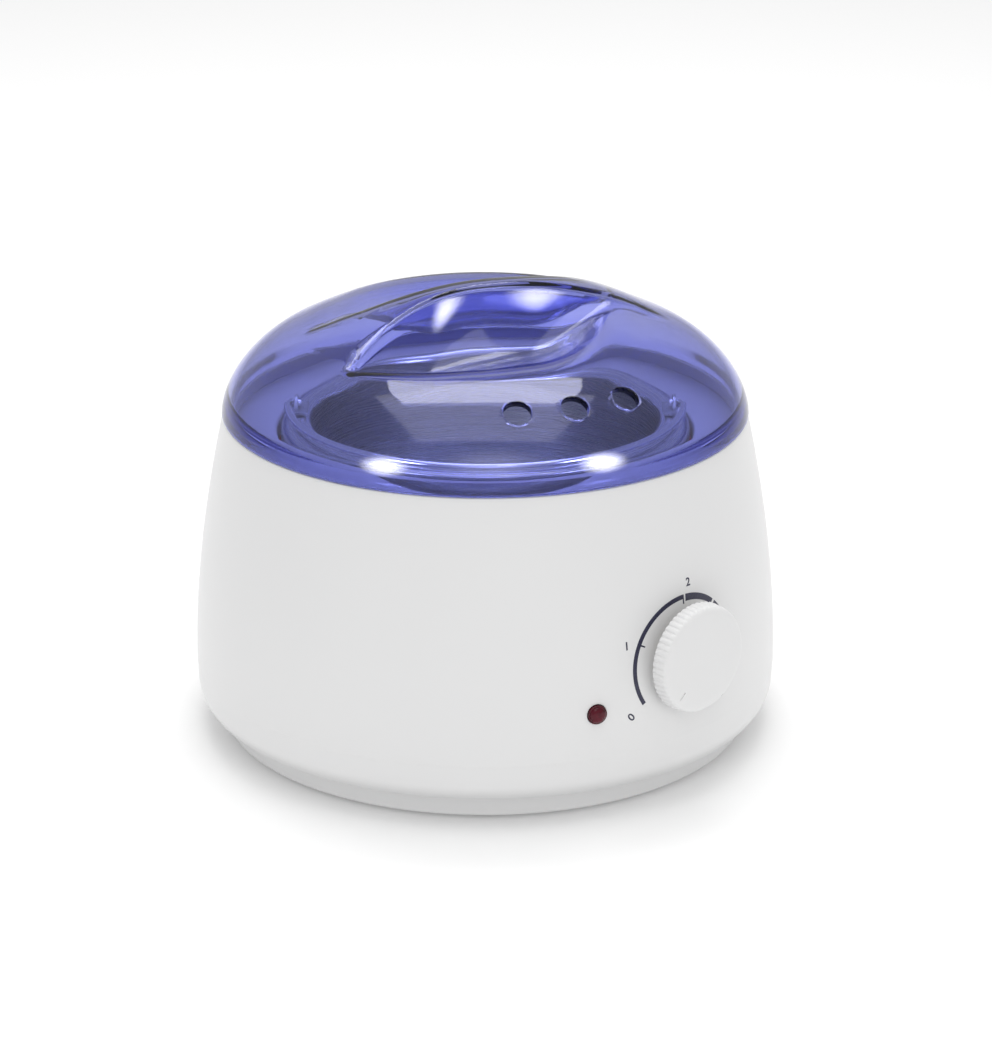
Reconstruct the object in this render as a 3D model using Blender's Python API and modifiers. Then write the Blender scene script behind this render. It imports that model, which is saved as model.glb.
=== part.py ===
"""Wax warmer pot: a round table-top heater with a lift-out aluminium pot and a clear blue lid.

The origin is on the table at the middle of the base. +Z is up, the front faces -Y, and an azimuth
is counted from the front towards +X. All lengths are in metres.
"""

import math

import bmesh
import bpy
from mathutils import Matrix, Vector

# Driving sizes
BODY_RADIUS = 0.0925  # widest radius of the white housing
BODY_WIDEST_Z = 0.0235
RIM_Z = 0.1033  # the land that carries the lid
RIM_RADIUS = 0.0822
SEAM_Z = 0.0096  # underside of the housing, just over the base plate
PLINTH_RADIUS = 0.0839
PLINTH_Z = 0.0015  # underside of the base plate, held up by the feet
WALL = 0.0026
GAP = 0.0003  # clearance between pieces that touch
COLLAR_RADIUS = 0.0653  # round opening in the deck that the pot drops through
DECK_Z = 0.0976

LID_RADIUS = 0.08268
LID_FLANK_HEIGHT = 0.03215
LID_CROWN = 0.0411  # middle of the lid above its lower edge
LID_CAP_CURVE = 4.4  # fall of the lid's cap per squared metre of radius
LID_WALL = 0.0022
LID_EDGE_Z = RIM_Z + GAP
SCOOP_DEPTH = 0.0175
SCOOP_LIP_RADIUS = 0.0605
SCOOP_LIP_SHARE = 0.95
VENT_AZIMUTHS = (8, 23, 38)
VENT_RADIUS = 0.0042
VENT_RING = 0.068

DIAL_AZIMUTH = 41.5
DIAL_Z = 0.0486
KNOB_RADIUS = 0.0170
KNOB_STANDOFF = 0.0030  # from the housing's wall to the back of the knob
KNOB_HEIGHT = 0.0054
KNOB_RIBS = 36
SHAFT_RADIUS = 0.003
SHAFT_END = 0.0060  # beyond the housing's wall
LAMP_AZIMUTH = 21.2
LAMP_Z = 0.036
GLAND_AZIMUTH = 200
GLAND_Z = 0.019

FOOT_RING = 0.064
FOOT_RADIUS = 0.007
BASE_SCREW_RING = 0.076
WELL_SCREW_RING = 0.070
SCREW_RADIUS = 0.0015
SCREW_HOLE_RADIUS = SCREW_RADIUS + GAP
STRAP_LOW, STRAP_HIGH = 0.042, 0.054  # steel strap round the heater band
STRAP_BOLT_Y = 0.0675
PIVOT_Z = 0.1048  # axis that the pot's bail swings about
BAIL_WIRE = 0.0013
ROUND_STEPS = 40  # sides of every large round piece, so that neighbours keep their gaps


def clear_scene():
    for obj in list(bpy.data.objects):
        bpy.data.objects.remove(obj, do_unlink=True)


def new_collection(name):
    collection = bpy.data.collections.new(name)
    bpy.context.scene.collection.children.link(collection)
    return collection


clear_scene()
PARTS = new_collection("wax_warmer_pot")
CUTTERS = new_collection("cutters")


def material(name, colour, roughness, metallic=0.0):
    made = bpy.data.materials.new(name)
    made.use_nodes = True
    shader = made.node_tree.nodes["Principled BSDF"]
    shader.inputs["Base Color"].default_value = (*colour, 1)
    shader.inputs["Roughness"].default_value = roughness
    shader.inputs["Metallic"].default_value = metallic
    return made


WHITE = material("white_abs", (0.84, 0.84, 0.85), 0.22)
BLUE = material("blue_clear_plastic", (0.10, 0.11, 0.62), 0.08)
ALUMINIUM = material("aluminium", (0.72, 0.73, 0.76), 0.28, 1.0)
STEEL = material("zinc_plated_steel", (0.60, 0.60, 0.62), 0.35, 1.0)
BRASS = material("brass", (0.78, 0.60, 0.28), 0.32, 1.0)
RUBBER = material("grey_rubber", (0.10, 0.10, 0.11), 0.8)
SILICONE = material("red_silicone", (0.55, 0.12, 0.08), 0.6)
MICA = material("mica", (0.50, 0.42, 0.30), 0.55)
CERAMIC = material("steatite", (0.85, 0.82, 0.74), 0.5)
NYLON = material("white_nylon", (0.80, 0.80, 0.76), 0.5)
RED_LENS = material("red_lens", (0.45, 0.02, 0.03), 0.12)
LAMP_GLASS = material("lamp_glass", (0.75, 0.72, 0.70), 0.08)
LIVE = material("brown_wire", (0.20, 0.09, 0.05), 0.5)
NEUTRAL = material("blue_wire", (0.05, 0.12, 0.45), 0.5)
EARTH = material("green_wire", (0.10, 0.35, 0.08), 0.5)


def finish(obj, name, look, smooth=True):
    """Names the object, gives it its material and shades its round faces smooth."""
    obj.name = name
    if obj.type == "MESH":
        obj.data.name = name
        if smooth:
            obj.data.shade_smooth()
            obj.data.set_sharp_from_angle(angle=math.radians(35))
    if look:
        obj.data.materials.append(look)
    return obj


def link_mesh(shape, name, look, cutter=False):
    mesh = bpy.data.meshes.new(name)
    shape.normal_update()
    shape.to_mesh(mesh)
    shape.free()
    obj = bpy.data.objects.new(name, mesh)
    (CUTTERS if cutter else PARTS).objects.link(obj)
    if cutter:
        obj.hide_render = True
        obj.display_type = "WIRE"
    return finish(obj, name, look, smooth=not cutter)


def turned(name, look, profile, steps, cutter=False):
    """A solid of revolution about Z from (radius, z) points, either way round."""
    closed = profile[0][0] > 0
    ends = zip(profile, profile[1:] + profile[:1])
    area = sum(x0 * z1 - x1 * z0 for (x0, z0), (x1, z1) in ends)
    points = profile[::-1] if area > 0 else profile
    shape = bmesh.new()
    rim = [shape.verts.new((radius, 0, z)) for radius, z in points]
    for first, second in zip(rim, rim[1:] + rim[:1] * closed):
        shape.edges.new((first, second))
    obj = link_mesh(shape, name, look, cutter)
    screw = obj.modifiers.new("turn", "SCREW")
    screw.steps = steps
    screw.render_steps = steps
    screw.use_merge_vertices = True
    screw.merge_threshold = 0.00005
    screw.use_smooth_shade = True
    return obj


def rod(name, look, radius, low, high, sides=24, cutter=False):
    """A cylinder about Z between two heights."""
    shape = bmesh.new()
    bmesh.ops.create_cone(
        shape, cap_ends=True, segments=sides, radius1=radius, radius2=radius, depth=high - low
    )
    bmesh.ops.translate(shape, verts=shape.verts, vec=(0, 0, (low + high) / 2))
    return link_mesh(shape, name, look, cutter)


def block(name, look, low, high, cutter=False, bevel=0.0):
    """A box between two corners."""
    low, high = Vector(low), Vector(high)
    shape = bmesh.new()
    bmesh.ops.create_cube(shape, size=1)
    bmesh.ops.scale(shape, verts=shape.verts, vec=high - low)
    bmesh.ops.translate(shape, verts=shape.verts, vec=(low + high) / 2)
    obj = link_mesh(shape, name, look, cutter)
    if bevel:
        edge = obj.modifiers.new("bevel", "BEVEL")
        edge.width = bevel
        edge.segments = 2
    return obj


def wire(name, look, route, radius, between=3, resolution=1):
    """A bevelled tube along a smooth curve through the points of its route."""
    ends = [Vector(point) for point in route]
    ends = [2 * ends[0] - ends[1]] + ends + [2 * ends[-1] - ends[-2]]
    path = []
    for before, start, end, after in zip(ends, ends[1:], ends[2:], ends[3:]):
        for step in range(between):
            t = step / between
            path.append(
                0.5 * (2 * start + (end - before) * t
                + (2 * before - 5 * start + 4 * end - after) * t**2
                + (3 * start - before - 3 * end + after) * t**3)
            )
    path.append(ends[-2])
    curve = bpy.data.curves.new(name, "CURVE")
    curve.dimensions = "3D"
    spline = curve.splines.new("POLY")
    spline.points.add(len(path) - 1)
    for point, place in zip(spline.points, path):
        point.co = (*place, 1)
    curve.bevel_depth = radius
    curve.bevel_resolution = resolution
    curve.use_fill_caps = True
    obj = bpy.data.objects.new(name, curve)
    PARTS.objects.link(obj)
    return finish(obj, name, look)


def boolean(obj, other, operation):
    step = obj.modifiers.new(operation.lower() + "_" + other.name, "BOOLEAN")
    step.object = other
    step.operation = operation
    return obj


def cut(obj, *others):
    for other in others:
        boolean(obj, other, "DIFFERENCE")
    return obj


def join(obj, *others):
    """Union with helper shapes, which are kept with the cutters."""
    for other in others:
        boolean(obj, other, "UNION")
    return obj


def place(obj, matrix):
    obj.matrix_world = matrix
    return obj


def outward(azimuth):
    """Unit vector that points away from the middle at this azimuth, in degrees."""
    turn = math.radians(azimuth)
    return Vector((math.sin(turn), -math.cos(turn), 0))


def radial_frame(azimuth, z):
    """Local Z runs outward from the middle axis, local Y stays up and local X follows the wall."""
    out = outward(azimuth)
    up = Vector((0, 0, 1))
    frame = Matrix((up.cross(out), up, out)).transposed().to_4x4()
    frame.translation = (0, 0, z)
    return frame


def ring_place(azimuth, radius, z=0.0):
    return Matrix.Translation(outward(azimuth) * radius + Vector((0, 0, z)))


def smoothstep(low, high, value):
    t = min(max((value - low) / (high - low), 0.0), 1.0)
    return t * t * (3 - 2 * t)


def body_radius(z):
    """Outer radius of the housing: a slow taper above its widest line, a tight tuck below."""
    if z > BODY_WIDEST_Z:
        rise = (z - BODY_WIDEST_Z) / (RIM_Z - BODY_WIDEST_Z)
        return BODY_RADIUS - (BODY_RADIUS - RIM_RADIUS) * rise**1.78
    return BODY_RADIUS - 0.0032 * ((BODY_WIDEST_Z - z) / (BODY_WIDEST_Z - SEAM_Z)) ** 5


def make_body_shell():
    side_heights = [0.092, 0.080, 0.068, 0.056, 0.044, 0.033, 0.0235, 0.018, 0.0145, 0.0117]
    outside = [(body_radius(z), z) for z in side_heights]
    inside = [(body_radius(z) - WALL, z) for z in (0.080, 0.062, 0.044, 0.0235, 0.016)]
    top = [(0.0806, RIM_Z), (RIM_RADIUS - 0.0003, RIM_Z), (RIM_RADIUS, RIM_Z - 0.0004)]
    flange_z = SEAM_Z + 0.0020
    bottom = [(0.0898, SEAM_Z + 0.0006), (0.0889, SEAM_Z), (0.0827, SEAM_Z), (0.0827, flange_z)]
    lower_corner = [(0.0862, flange_z)]
    deck_low = 0.095
    deck_under = [(0.0810, deck_low), (0.0679, deck_low), (0.0679, 0.0915), (COLLAR_RADIUS, 0.0915)]
    deck_top = [(COLLAR_RADIUS, DECK_Z - 0.0010), (0.0662, DECK_Z), (0.0800, 0.0986), (0.0806, 0.0992)]
    profile = top + outside + bottom + lower_corner + inside[::-1] + deck_under + deck_top
    shell = turned("body_shell", WHITE, profile, steps=ROUND_STEPS)

    for index in range(4):
        azimuth = 90 * index
        boss = rod(f"base_boss_{index}", None, 0.0042, 0.0068, 0.026, 16, cutter=True)
        place(boss, ring_place(azimuth, BASE_SCREW_RING))
        rib = block(f"boss_rib_{index}", None, (-0.0012, -0.0125, 0.012), (0.0012, 0, 0.0259), True)
        turn = Matrix.Rotation(math.radians(azimuth), 4, "Z")
        place(rib, turn @ Matrix.Translation((0, -0.0775, 0)))
        pilot = rod(f"base_pilot_{index}", None, SCREW_HOLE_RADIUS, 0.0050, 0.020, 12, cutter=True)
        place(pilot, ring_place(azimuth, BASE_SCREW_RING))
        join(shell, boss, rib)
        cut(shell, pilot)
        deck_boss = rod(f"deck_boss_{index}", None, 0.0034, 0.0915, 0.0960, 16, cutter=True)
        deck_pilot = rod(f"deck_pilot_{index}", None, SCREW_HOLE_RADIUS, 0.0900, 0.0958, 12, cutter=True)
        for helper in (deck_boss, deck_pilot):
            place(helper, ring_place(azimuth + 45, WELL_SCREW_RING))
        join(shell, deck_boss)
        cut(shell, deck_pilot)

    holes = (
        ("dial_hole", DIAL_AZIMUTH, DIAL_Z, 0.0050),
        ("lamp_hole", LAMP_AZIMUTH, LAMP_Z, 0.0032),
        ("gland_hole", GLAND_AZIMUTH, GLAND_Z, 0.0060),
    )
    for name, azimuth, height, radius in holes:
        hole = rod(name, None, radius, 0.080, 0.100, 24, cutter=True)
        cut(shell, place(hole, radial_frame(azimuth, height)))


def make_base():
    floor, lip = 0.0040, SEAM_Z + 0.0016
    profile = [
        (0, PLINTH_Z), (0.0832, PLINTH_Z), (PLINTH_RADIUS, PLINTH_Z + 0.0007),
        (PLINTH_RADIUS, SEAM_Z - 0.0012), (0.0833, SEAM_Z - GAP), (0.0824, SEAM_Z - GAP),
        (0.0824, lip), (0.0806, lip), (0.0806, floor), (0, floor),
    ]
    plate = turned("base_plate", WHITE, profile, steps=ROUND_STEPS)
    for index in range(4):
        azimuth = 90 * index
        pad = rod(f"screw_pad_{index}", None, 0.0055, 0.0020, 0.0065, 20, cutter=True)
        sink = rod(f"screw_sink_{index}", None, 0.0034, 0.0005, 0.0037, 16, cutter=True)
        hole = rod(f"screw_hole_{index}", None, SCREW_HOLE_RADIUS, 0.0005, 0.0090, 12, cutter=True)
        for helper in (pad, sink, hole):
            place(helper, ring_place(azimuth, BASE_SCREW_RING))
        join(plate, pad)
        cut(plate, sink, hole)
        recess = rod(f"foot_recess_{index}", None, FOOT_RADIUS + GAP, 0.0005, 0.0025, 24, cutter=True)
        cut(plate, place(recess, ring_place(azimuth + 45, FOOT_RING)))
    for index in range(8):
        slot = block(f"vent_slot_{index}", None, (-0.0015, -0.052, 0.0005), (0.0015, -0.030, 0.0060), True)
        turn = Matrix.Rotation(math.radians(45 * index), 4, "Z")
        cut(plate, place(slot, turn))

    for index, side in enumerate(("front_right", "rear_right", "rear_left", "front_left")):
        foot_profile = [
            (0, 0), (FOOT_RADIUS - 0.0008, 0), (FOOT_RADIUS, 0.0006),
            (FOOT_RADIUS, 0.0022), (0, 0.0022),
        ]
        foot = turned(f"foot_{side}", RUBBER, foot_profile, steps=24)
        place(foot, ring_place(90 * index + 45, FOOT_RING))
    for index in range(4):
        screw = make_screw(f"base_screw_{index + 1}", 0.0020, 0.0034, 0.0030, 0.0185)
        place(screw, ring_place(90 * index, BASE_SCREW_RING))


def make_screw(name, head_low, head_high, head_radius, tip):
    """A pan-head screw that points up."""
    low_radius = head_radius * 0.72
    profile = [
        (0, head_low), (low_radius, head_low), (head_radius, head_low + (head_high - head_low) * 0.5),
        (head_radius, head_high), (SCREW_RADIUS, head_high), (SCREW_RADIUS, tip - 0.001), (0, tip),
    ]
    return turned(name, STEEL, profile, steps=12)


def make_well():
    flange_low, flange_high, flange_radius = 0.0899, 0.0912, 0.073
    inside = [
        (0, 0.0197), (0.0470, 0.0197), (0.0536, 0.0216), (0.0554, 0.0270), (0.0570, 0.0904),
        (0.0576, flange_high),
    ]
    outside = [
        (flange_radius, flange_high), (flange_radius, flange_low), (0.0592, flange_low),
        (0.0583, 0.0889), (0.0567, 0.0268), (0.0546, 0.0206), (0.0473, 0.0184), (0, 0.0184),
    ]
    well = turned("heating_well", ALUMINIUM, inside + outside, steps=ROUND_STEPS)
    for index in range(4):
        hole = rod(f"well_hole_{index}", None, SCREW_HOLE_RADIUS, 0.089, 0.092, 12, cutter=True)
        cut(well, place(hole, ring_place(90 * index + 45, WELL_SCREW_RING)))
        screw = make_screw(f"well_screw_{index + 1}", 0.0876, 0.0896, 0.0028, 0.0955)
        place(screw, ring_place(90 * index + 45, WELL_SCREW_RING))
    gasket = [(0.0605, 0.0915), (0.0650, 0.0915), (0.0650, 0.0931), (0.0605, 0.0931)]
    turned("well_gasket", SILICONE, gasket, steps=ROUND_STEPS)


def make_heater():
    """A mica band heater held round the well by a steel strap, with its screw and nut at the rear."""
    band = turned(
        "heater_band", MICA, [(0.0580, 0.030), (0.0600, 0.030), (0.0600, 0.066), (0.0580, 0.066)],
        steps=ROUND_STEPS,
    )
    split = block("band_split", None, (-0.003, 0.050, 0.025), (0.003, 0.066, 0.070), True)
    cut(band, split)

    strap_profile = [
        (0.0603, STRAP_LOW), (0.0611, STRAP_LOW), (0.0611, STRAP_HIGH), (0.0603, STRAP_HIGH)
    ]
    strap = turned("heater_strap", STEEL, strap_profile, steps=ROUND_STEPS)
    for side, x in (("left", -0.0044), ("right", 0.0034)):
        low = (x, 0.0604, STRAP_LOW + 0.0005)
        high = (x + 0.001, STRAP_BOLT_Y + 0.0045, STRAP_HIGH - 0.0005)
        join(strap, block(f"strap_ear_{side}", None, low, high, cutter=True))
    opening = block(
        "strap_split", None, (-0.0034, 0.055, STRAP_LOW - 0.002), (0.0034, 0.0625, STRAP_HIGH + 0.002), True
    )
    middle = Matrix.Translation((0, STRAP_BOLT_Y, (STRAP_LOW + STRAP_HIGH) / 2))
    across = middle @ Matrix.Rotation(math.radians(90), 4, "Y")
    bolt_hole = rod("strap_bolt_hole", None, SCREW_HOLE_RADIUS, -0.008, 0.008, 12, cutter=True)
    cut(strap, opening, place(bolt_hole, across))
    place(make_screw("strap_screw", -0.0070, -0.0047, 0.0028, 0.0100), across)
    nut = rod("strap_nut", STEEL, 0.0031, 0.0047, 0.0070, sides=6)
    nut_hole = rod("strap_nut_hole", None, SCREW_HOLE_RADIUS, 0.003, 0.009, 12, cutter=True)
    cut(place(nut, across), place(nut_hole, across))

    for name, azimuth in (("heater_terminal_live", 152), ("heater_terminal_neutral", 208)):
        tab = block(name, BRASS, (-0.003, 0, 0.0603), (0.003, 0.006, 0.0611))
        spade = block(name + "_spade", None, (-0.003, 0, 0.0605), (0.003, 0.0008, 0.0690), True)
        join(tab, spade)
        for piece in (tab, spade):
            place(piece, radial_frame(azimuth, 0.032))

    fuse_axis = Matrix.Translation((0.012, 0.020, 0.0148)) @ Matrix.Rotation(math.radians(90), 4, "Y")
    fuse_profile = [
        (0, -0.0075), (0.0009, -0.0073), (0.0020, -0.0055), (0.0020, 0.0055), (0.0009, 0.0073), (0, 0.0075)
    ]
    place(turned("thermal_fuse", CERAMIC, fuse_profile, steps=16), fuse_axis)
    clip = block("fuse_clip", STEEL, (0.0095, 0.0160, 0.0118), (0.0145, 0.0240, 0.0181))
    hollow = block("fuse_clip_hollow", None, (0.0080, 0.0168, 0.0126), (0.0160, 0.0232, 0.0173), True)
    cut(clip, hollow)


def make_thermostat():
    """The rotary thermostat behind the dial. Local Z is the shaft's axis, outward."""
    frame = radial_frame(DIAL_AZIMUTH, DIAL_Z)
    wall = body_radius(DIAL_Z)
    bore = SHAFT_RADIUS + GAP
    bush_profile = [
        (bore, 0.0836), (0.0042, 0.0836), (0.0042, 0.0855), (0.0072, 0.0855), (0.0072, 0.0873),
        (0.0047, 0.0873), (0.0047, wall + 0.0036), (bore, wall + 0.0036),
    ]
    place(turned("thermostat_bush", BRASS, bush_profile, steps=24), frame)
    nut = rod("thermostat_nut", BRASS, 0.0070, wall + 0.0009, wall + 0.0029, sides=6)
    thread = rod("thermostat_nut_hole", None, 0.0050, wall - 0.002, wall + 0.005, 24, cutter=True)
    cut(nut, place(thread, frame))
    place(nut, frame)

    plate = block("thermostat_frame", STEEL, (-0.011, -0.017, 0.0839), (0.011, 0.014, 0.0851))
    hole = rod("thermostat_frame_hole", None, 0.0046, 0.080, 0.090, 16, cutter=True)
    cut(plate, place(hole, frame))
    place(plate, frame)
    stack = rod("thermostat_stack", CERAMIC, 0.0048, 0.0700, 0.0836, sides=20)
    place(stack, frame @ Matrix.Translation((0, -0.0115, 0)))
    place(block("bimetal_strip", BRASS, (-0.004, -0.0160, 0.0690), (0.004, 0.0120, 0.0697)), frame)
    place(block("contact_spring", BRASS, (-0.0035, -0.0064, 0.0755), (0.0035, 0.0120, 0.0761)), frame)

    end = wall + SHAFT_END
    shaft_profile = [
        (0, 0.0765), (0.0018, 0.0765), (SHAFT_RADIUS, 0.0780), (SHAFT_RADIUS, end - 0.0005),
        (SHAFT_RADIUS - 0.0005, end), (0, end),
    ]
    place(turned("thermostat_shaft", STEEL, shaft_profile, steps=24), frame)


def ribbed_loft(name, look, rings, sides):
    """A closed solid through stacked rings of (height, radius, how far every second point sinks)."""
    shape = bmesh.new()
    loops = []
    for height, radius, rib_depth in rings:
        loop = []
        for index in range(sides):
            turn = 2 * math.pi * index / sides
            reach = radius - rib_depth * (index % 2)
            loop.append(shape.verts.new((reach * math.cos(turn), reach * math.sin(turn), height)))
        loops.append(loop)
    for lower, upper in zip(loops, loops[1:]):
        for index in range(sides):
            after = (index + 1) % sides
            shape.faces.new((lower[index], lower[after], upper[after], upper[index]))
    shape.faces.new(loops[0][::-1])
    shape.faces.new(loops[-1])
    return link_mesh(shape, name, look)


def make_knob():
    """The dial: a shallow ribbed cap on the thermostat's shaft, with a moulded pointer groove at its edge."""
    frame = radial_frame(DIAL_AZIMUTH, DIAL_Z)
    wall = body_radius(DIAL_Z)
    back = wall + KNOB_STANDOFF
    face = back + KNOB_HEIGHT
    rings = [
        (back, KNOB_RADIUS, 0.0004),
        (face - 0.0018, KNOB_RADIUS - 0.0003, 0.0004),
        (face - 0.0009, KNOB_RADIUS - 0.0007, 0.0002),
        (face - 0.0003, KNOB_RADIUS - 0.0014, 0),
        (face, KNOB_RADIUS - 0.0034, 0),
    ]
    knob = ribbed_loft("control_knob", WHITE, rings, 2 * KNOB_RIBS)
    bore, hub = SHAFT_RADIUS + GAP, 0.0055
    hub_end, roof = wall + 0.0042, face - 0.0022
    hollow_profile = [
        (0, back - 0.001), (KNOB_RADIUS - 0.0020, back - 0.001), (KNOB_RADIUS - 0.0028, roof),
        (hub, roof), (hub, hub_end), (bore, hub_end), (bore, wall + SHAFT_END + GAP),
        (0, wall + SHAFT_END + GAP),
    ]
    hollow = turned("knob_hollow", None, hollow_profile, steps=32, cutter=True)
    groove = block(
        "knob_groove", None, (-0.0005, -0.0150, face - 0.0004), (0.0005, -0.0110, face + 0.001), True
    )
    pointer = frame @ Matrix.Rotation(math.radians(-45), 4, "Z")
    cut(knob, place(hollow, frame), place(groove, pointer))
    place(knob, frame)


def make_lamp():
    frame = radial_frame(LAMP_AZIMUTH, LAMP_Z)
    wall = body_radius(LAMP_Z)
    dome = [(0.0035 * math.cos(a), wall + 0.0007 + 0.0012 * math.sin(a)) for a in (0, 0.5, 1.0, 1.35)]
    lens_profile = (
        [(0, wall + 0.0019)] + dome[::-1]
        + [(0.0035, wall + 0.0003), (0.0029, wall + 0.0003), (0.0029, wall - 0.0110),
           (0.0021, wall - 0.0110), (0.0021, wall - 0.0020), (0, wall - 0.0020)]
    )
    place(turned("indicator_lens", RED_LENS, lens_profile, steps=24), frame)
    clip_profile = [
        (0.0032, wall - 0.0050), (0.0060, wall - 0.0050), (0.0060, wall - 0.0036), (0.0032, wall - 0.0036)
    ]
    place(turned("lens_clip", STEEL, clip_profile, steps=20), frame)
    lamp_profile = [
        (0, wall - 0.0028), (0.0009, wall - 0.0034), (0.0017, wall - 0.0050), (0.0017, wall - 0.0140),
        (0, wall - 0.0140),
    ]
    place(turned("neon_lamp", LAMP_GLASS, lamp_profile, steps=16), frame)


def make_inlet():
    """The mains cord's gland in the rear wall and the terminal block behind it. The cord is not here."""
    frame = radial_frame(GLAND_AZIMUTH, GLAND_Z)
    wall = body_radius(GLAND_Z)
    bore = 0.0034
    gland_profile = [
        (bore, wall + 0.0024), (0.0062, wall + 0.0024), (0.0075, wall + 0.0016), (0.0078, wall + 0.0008),
        (0.0057, wall + 0.0008), (0.0057, wall - 0.0055), (0.0068, wall - 0.0065), (0.0060, wall - 0.0100),
        (bore, wall - 0.0100),
    ]
    place(turned("cord_gland", RUBBER, gland_profile, steps=24), frame)

    low, high = (-0.035, 0.056, 0.0043), (-0.011, 0.070, 0.0140)
    terminals = block("terminal_block", NYLON, low, high, bevel=0.0008)
    for index, x in enumerate((-0.030, -0.023, -0.016)):
        well = rod(f"terminal_well_{index}", None, 0.0022, 0.0110, 0.0150, 16, cutter=True)
        cut(terminals, place(well, Matrix.Translation((x, 0.063, 0))))
        screw = rod(f"terminal_screw_{index + 1}", BRASS, 0.0018, 0.0113, 0.0132, 12)
        place(screw, Matrix.Translation((x, 0.063, 0)))


def make_wires():
    """The leads between the terminal block, fuse, thermostat, heater, lamp and the well's earth."""
    wire("fuse_lead", LIVE, [(-0.018, 0.0555, 0.009), (-0.016, 0.046, 0.010), (-0.008, 0.032, 0.012),
                             (-0.002, 0.023, 0.0145), (0.0035, 0.020, 0.0148)], 0.0008)
    wire("thermostat_lead", LIVE, [(0.0205, 0.020, 0.0148), (0.030, 0.015, 0.012), (0.048, -0.002, 0.010),
                                   (0.058, -0.022, 0.014), (0.060, -0.036, 0.026),
                                   (0.0595, -0.0410, 0.0332)], 0.0008)
    wire("heater_lead_live", LIVE, [(0.0335, 0.0610, 0.0312), (0.046, 0.058, 0.030), (0.064, 0.034, 0.031),
                                    (0.0695, 0.004, 0.031), (0.066, -0.028, 0.031),
                                    (0.0575, -0.0478, 0.0300)], 0.0008)
    wire("heater_lead_neutral", NEUTRAL, [(-0.031, 0.0555, 0.009), (-0.034, 0.050, 0.013),
                                          (-0.041, 0.055, 0.022), (-0.0380, 0.0610, 0.0290),
                                          (-0.0345, 0.0632, 0.0310)], 0.0008)
    wire("lamp_lead_live", LIVE, [(0.0277, -0.0718, 0.0368), (0.031, -0.066, 0.035), (0.040, -0.062, 0.030),
                                  (0.0500, -0.0560, 0.0270)], 0.0006)
    wire("lamp_lead_neutral", NEUTRAL, [(0.0277, -0.0718, 0.0350), (0.024, -0.066, 0.026),
                                        (-0.010, -0.066, 0.012), (-0.052, -0.042, 0.010),
                                        (-0.066, 0.004, 0.010), (-0.056, 0.040, 0.010),
                                        (-0.040, 0.053, 0.009), (-0.0335, 0.0550, 0.009)], 0.0006)
    wire("earth_lead", EARTH, [(-0.0245, 0.0555, 0.009), (-0.024, 0.044, 0.010), (-0.014, 0.012, 0.010),
                               (-0.004, 0.002, 0.0125), (-0.003, 0.0005, 0.0140)], 0.0008)
    rod("earth_tag", BRASS, 0.0040, 0.0160, 0.0168, 16)
    rod("earth_stud", STEEL, 0.0030, 0.0172, 0.0181, 6)


def make_pot():
    """The lift-out wax pot, with a rolled shoulder, two riveted ears and a swinging bail."""
    shoulder = [
        (0.0642, 0.0934), (0.0642, 0.0972), (0.0634, 0.0994), (0.0613, 0.1012), (0.0586, 0.1022),
        (0.0564, 0.1022), (0.0549, 0.1011), (0.0543, 0.0993),
    ]
    inside = [(0.0525, 0.0285), (0.0505, 0.0238), (0.0460, 0.0220), (0, 0.0220)]
    outside = [(0, 0.0205), (0.0463, 0.0205), (0.0516, 0.0224), (0.0540, 0.0275), (0.0558, 0.0985)]
    under = [
        (0.0566, 0.1003), (0.0583, 0.1006), (0.0604, 0.0998), (0.0621, 0.0984), (0.0627, 0.0968),
        (0.0627, 0.0934),
    ]
    turned("wax_pot", ALUMINIUM, outside + under + shoulder + inside, steps=ROUND_STEPS)

    for side, way in (("left", -1), ("right", 1)):
        low, high = sorted((way * 0.0585, way * 0.0595))
        ear = block(f"pot_ear_{side}", STEEL, (low, -0.0045, 0.1026), (high, 0.0045, 0.1075), bevel=0.0003)
        foot_low, foot_high = sorted((way * 0.0555, way * 0.0590))
        tab = block(f"ear_tab_{side}", None, (foot_low, -0.0060, 0.1026), (foot_high, 0.0060, 0.1034), True)
        eye = rod(f"ear_eye_{side}", None, BAIL_WIRE + GAP, 0.055, 0.063, 16, cutter=True)
        across = Matrix.Translation((0, 0, PIVOT_Z)) @ Matrix.Rotation(math.radians(90 * way), 4, "Y")
        join(ear, tab)
        cut(ear, place(eye, across))


def make_bail():
    """A sprung wire half hoop. It lies on the front of the shoulder, its ends hooked through the ears."""
    reach, front = 0.0616, 0.0602
    arc = [(-0.0575, 0, PIVOT_Z), (-reach, 0, PIVOT_Z)]
    steps = 18
    for index in range(1, steps):
        turn = math.pi * index / steps
        arc.append((-reach * math.cos(turn), -front * math.sin(turn), PIVOT_Z))
    arc += [(reach, 0, PIVOT_Z), (0.0575, 0, PIVOT_Z)]
    wire("pot_bail", STEEL, arc, BAIL_WIRE, between=1, resolution=2)


def scoop_crest(x):
    """Front edge of the grip in plan: a leaning curve from the front left to the right."""
    left = max(0.024 - x, 0) / 0.068
    right = max(x - 0.045, 0)
    return -0.0005 - 0.0475 * left**2.7 + 0.010 * smoothstep(0, 0.045, x) - 12 * right**2


def scoop_lip(x):
    """Outer edge of the front scoop in plan."""
    return -SCOOP_LIP_SHARE * math.sqrt(max(SCOOP_LIP_RADIUS**2 - x * x, 0))


def scoop_foot(x):
    """Share of the way from the lip to the grip at which the scoop is deepest."""
    return 0.64 + 5 * min(max(x, 0), 0.050)


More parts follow.
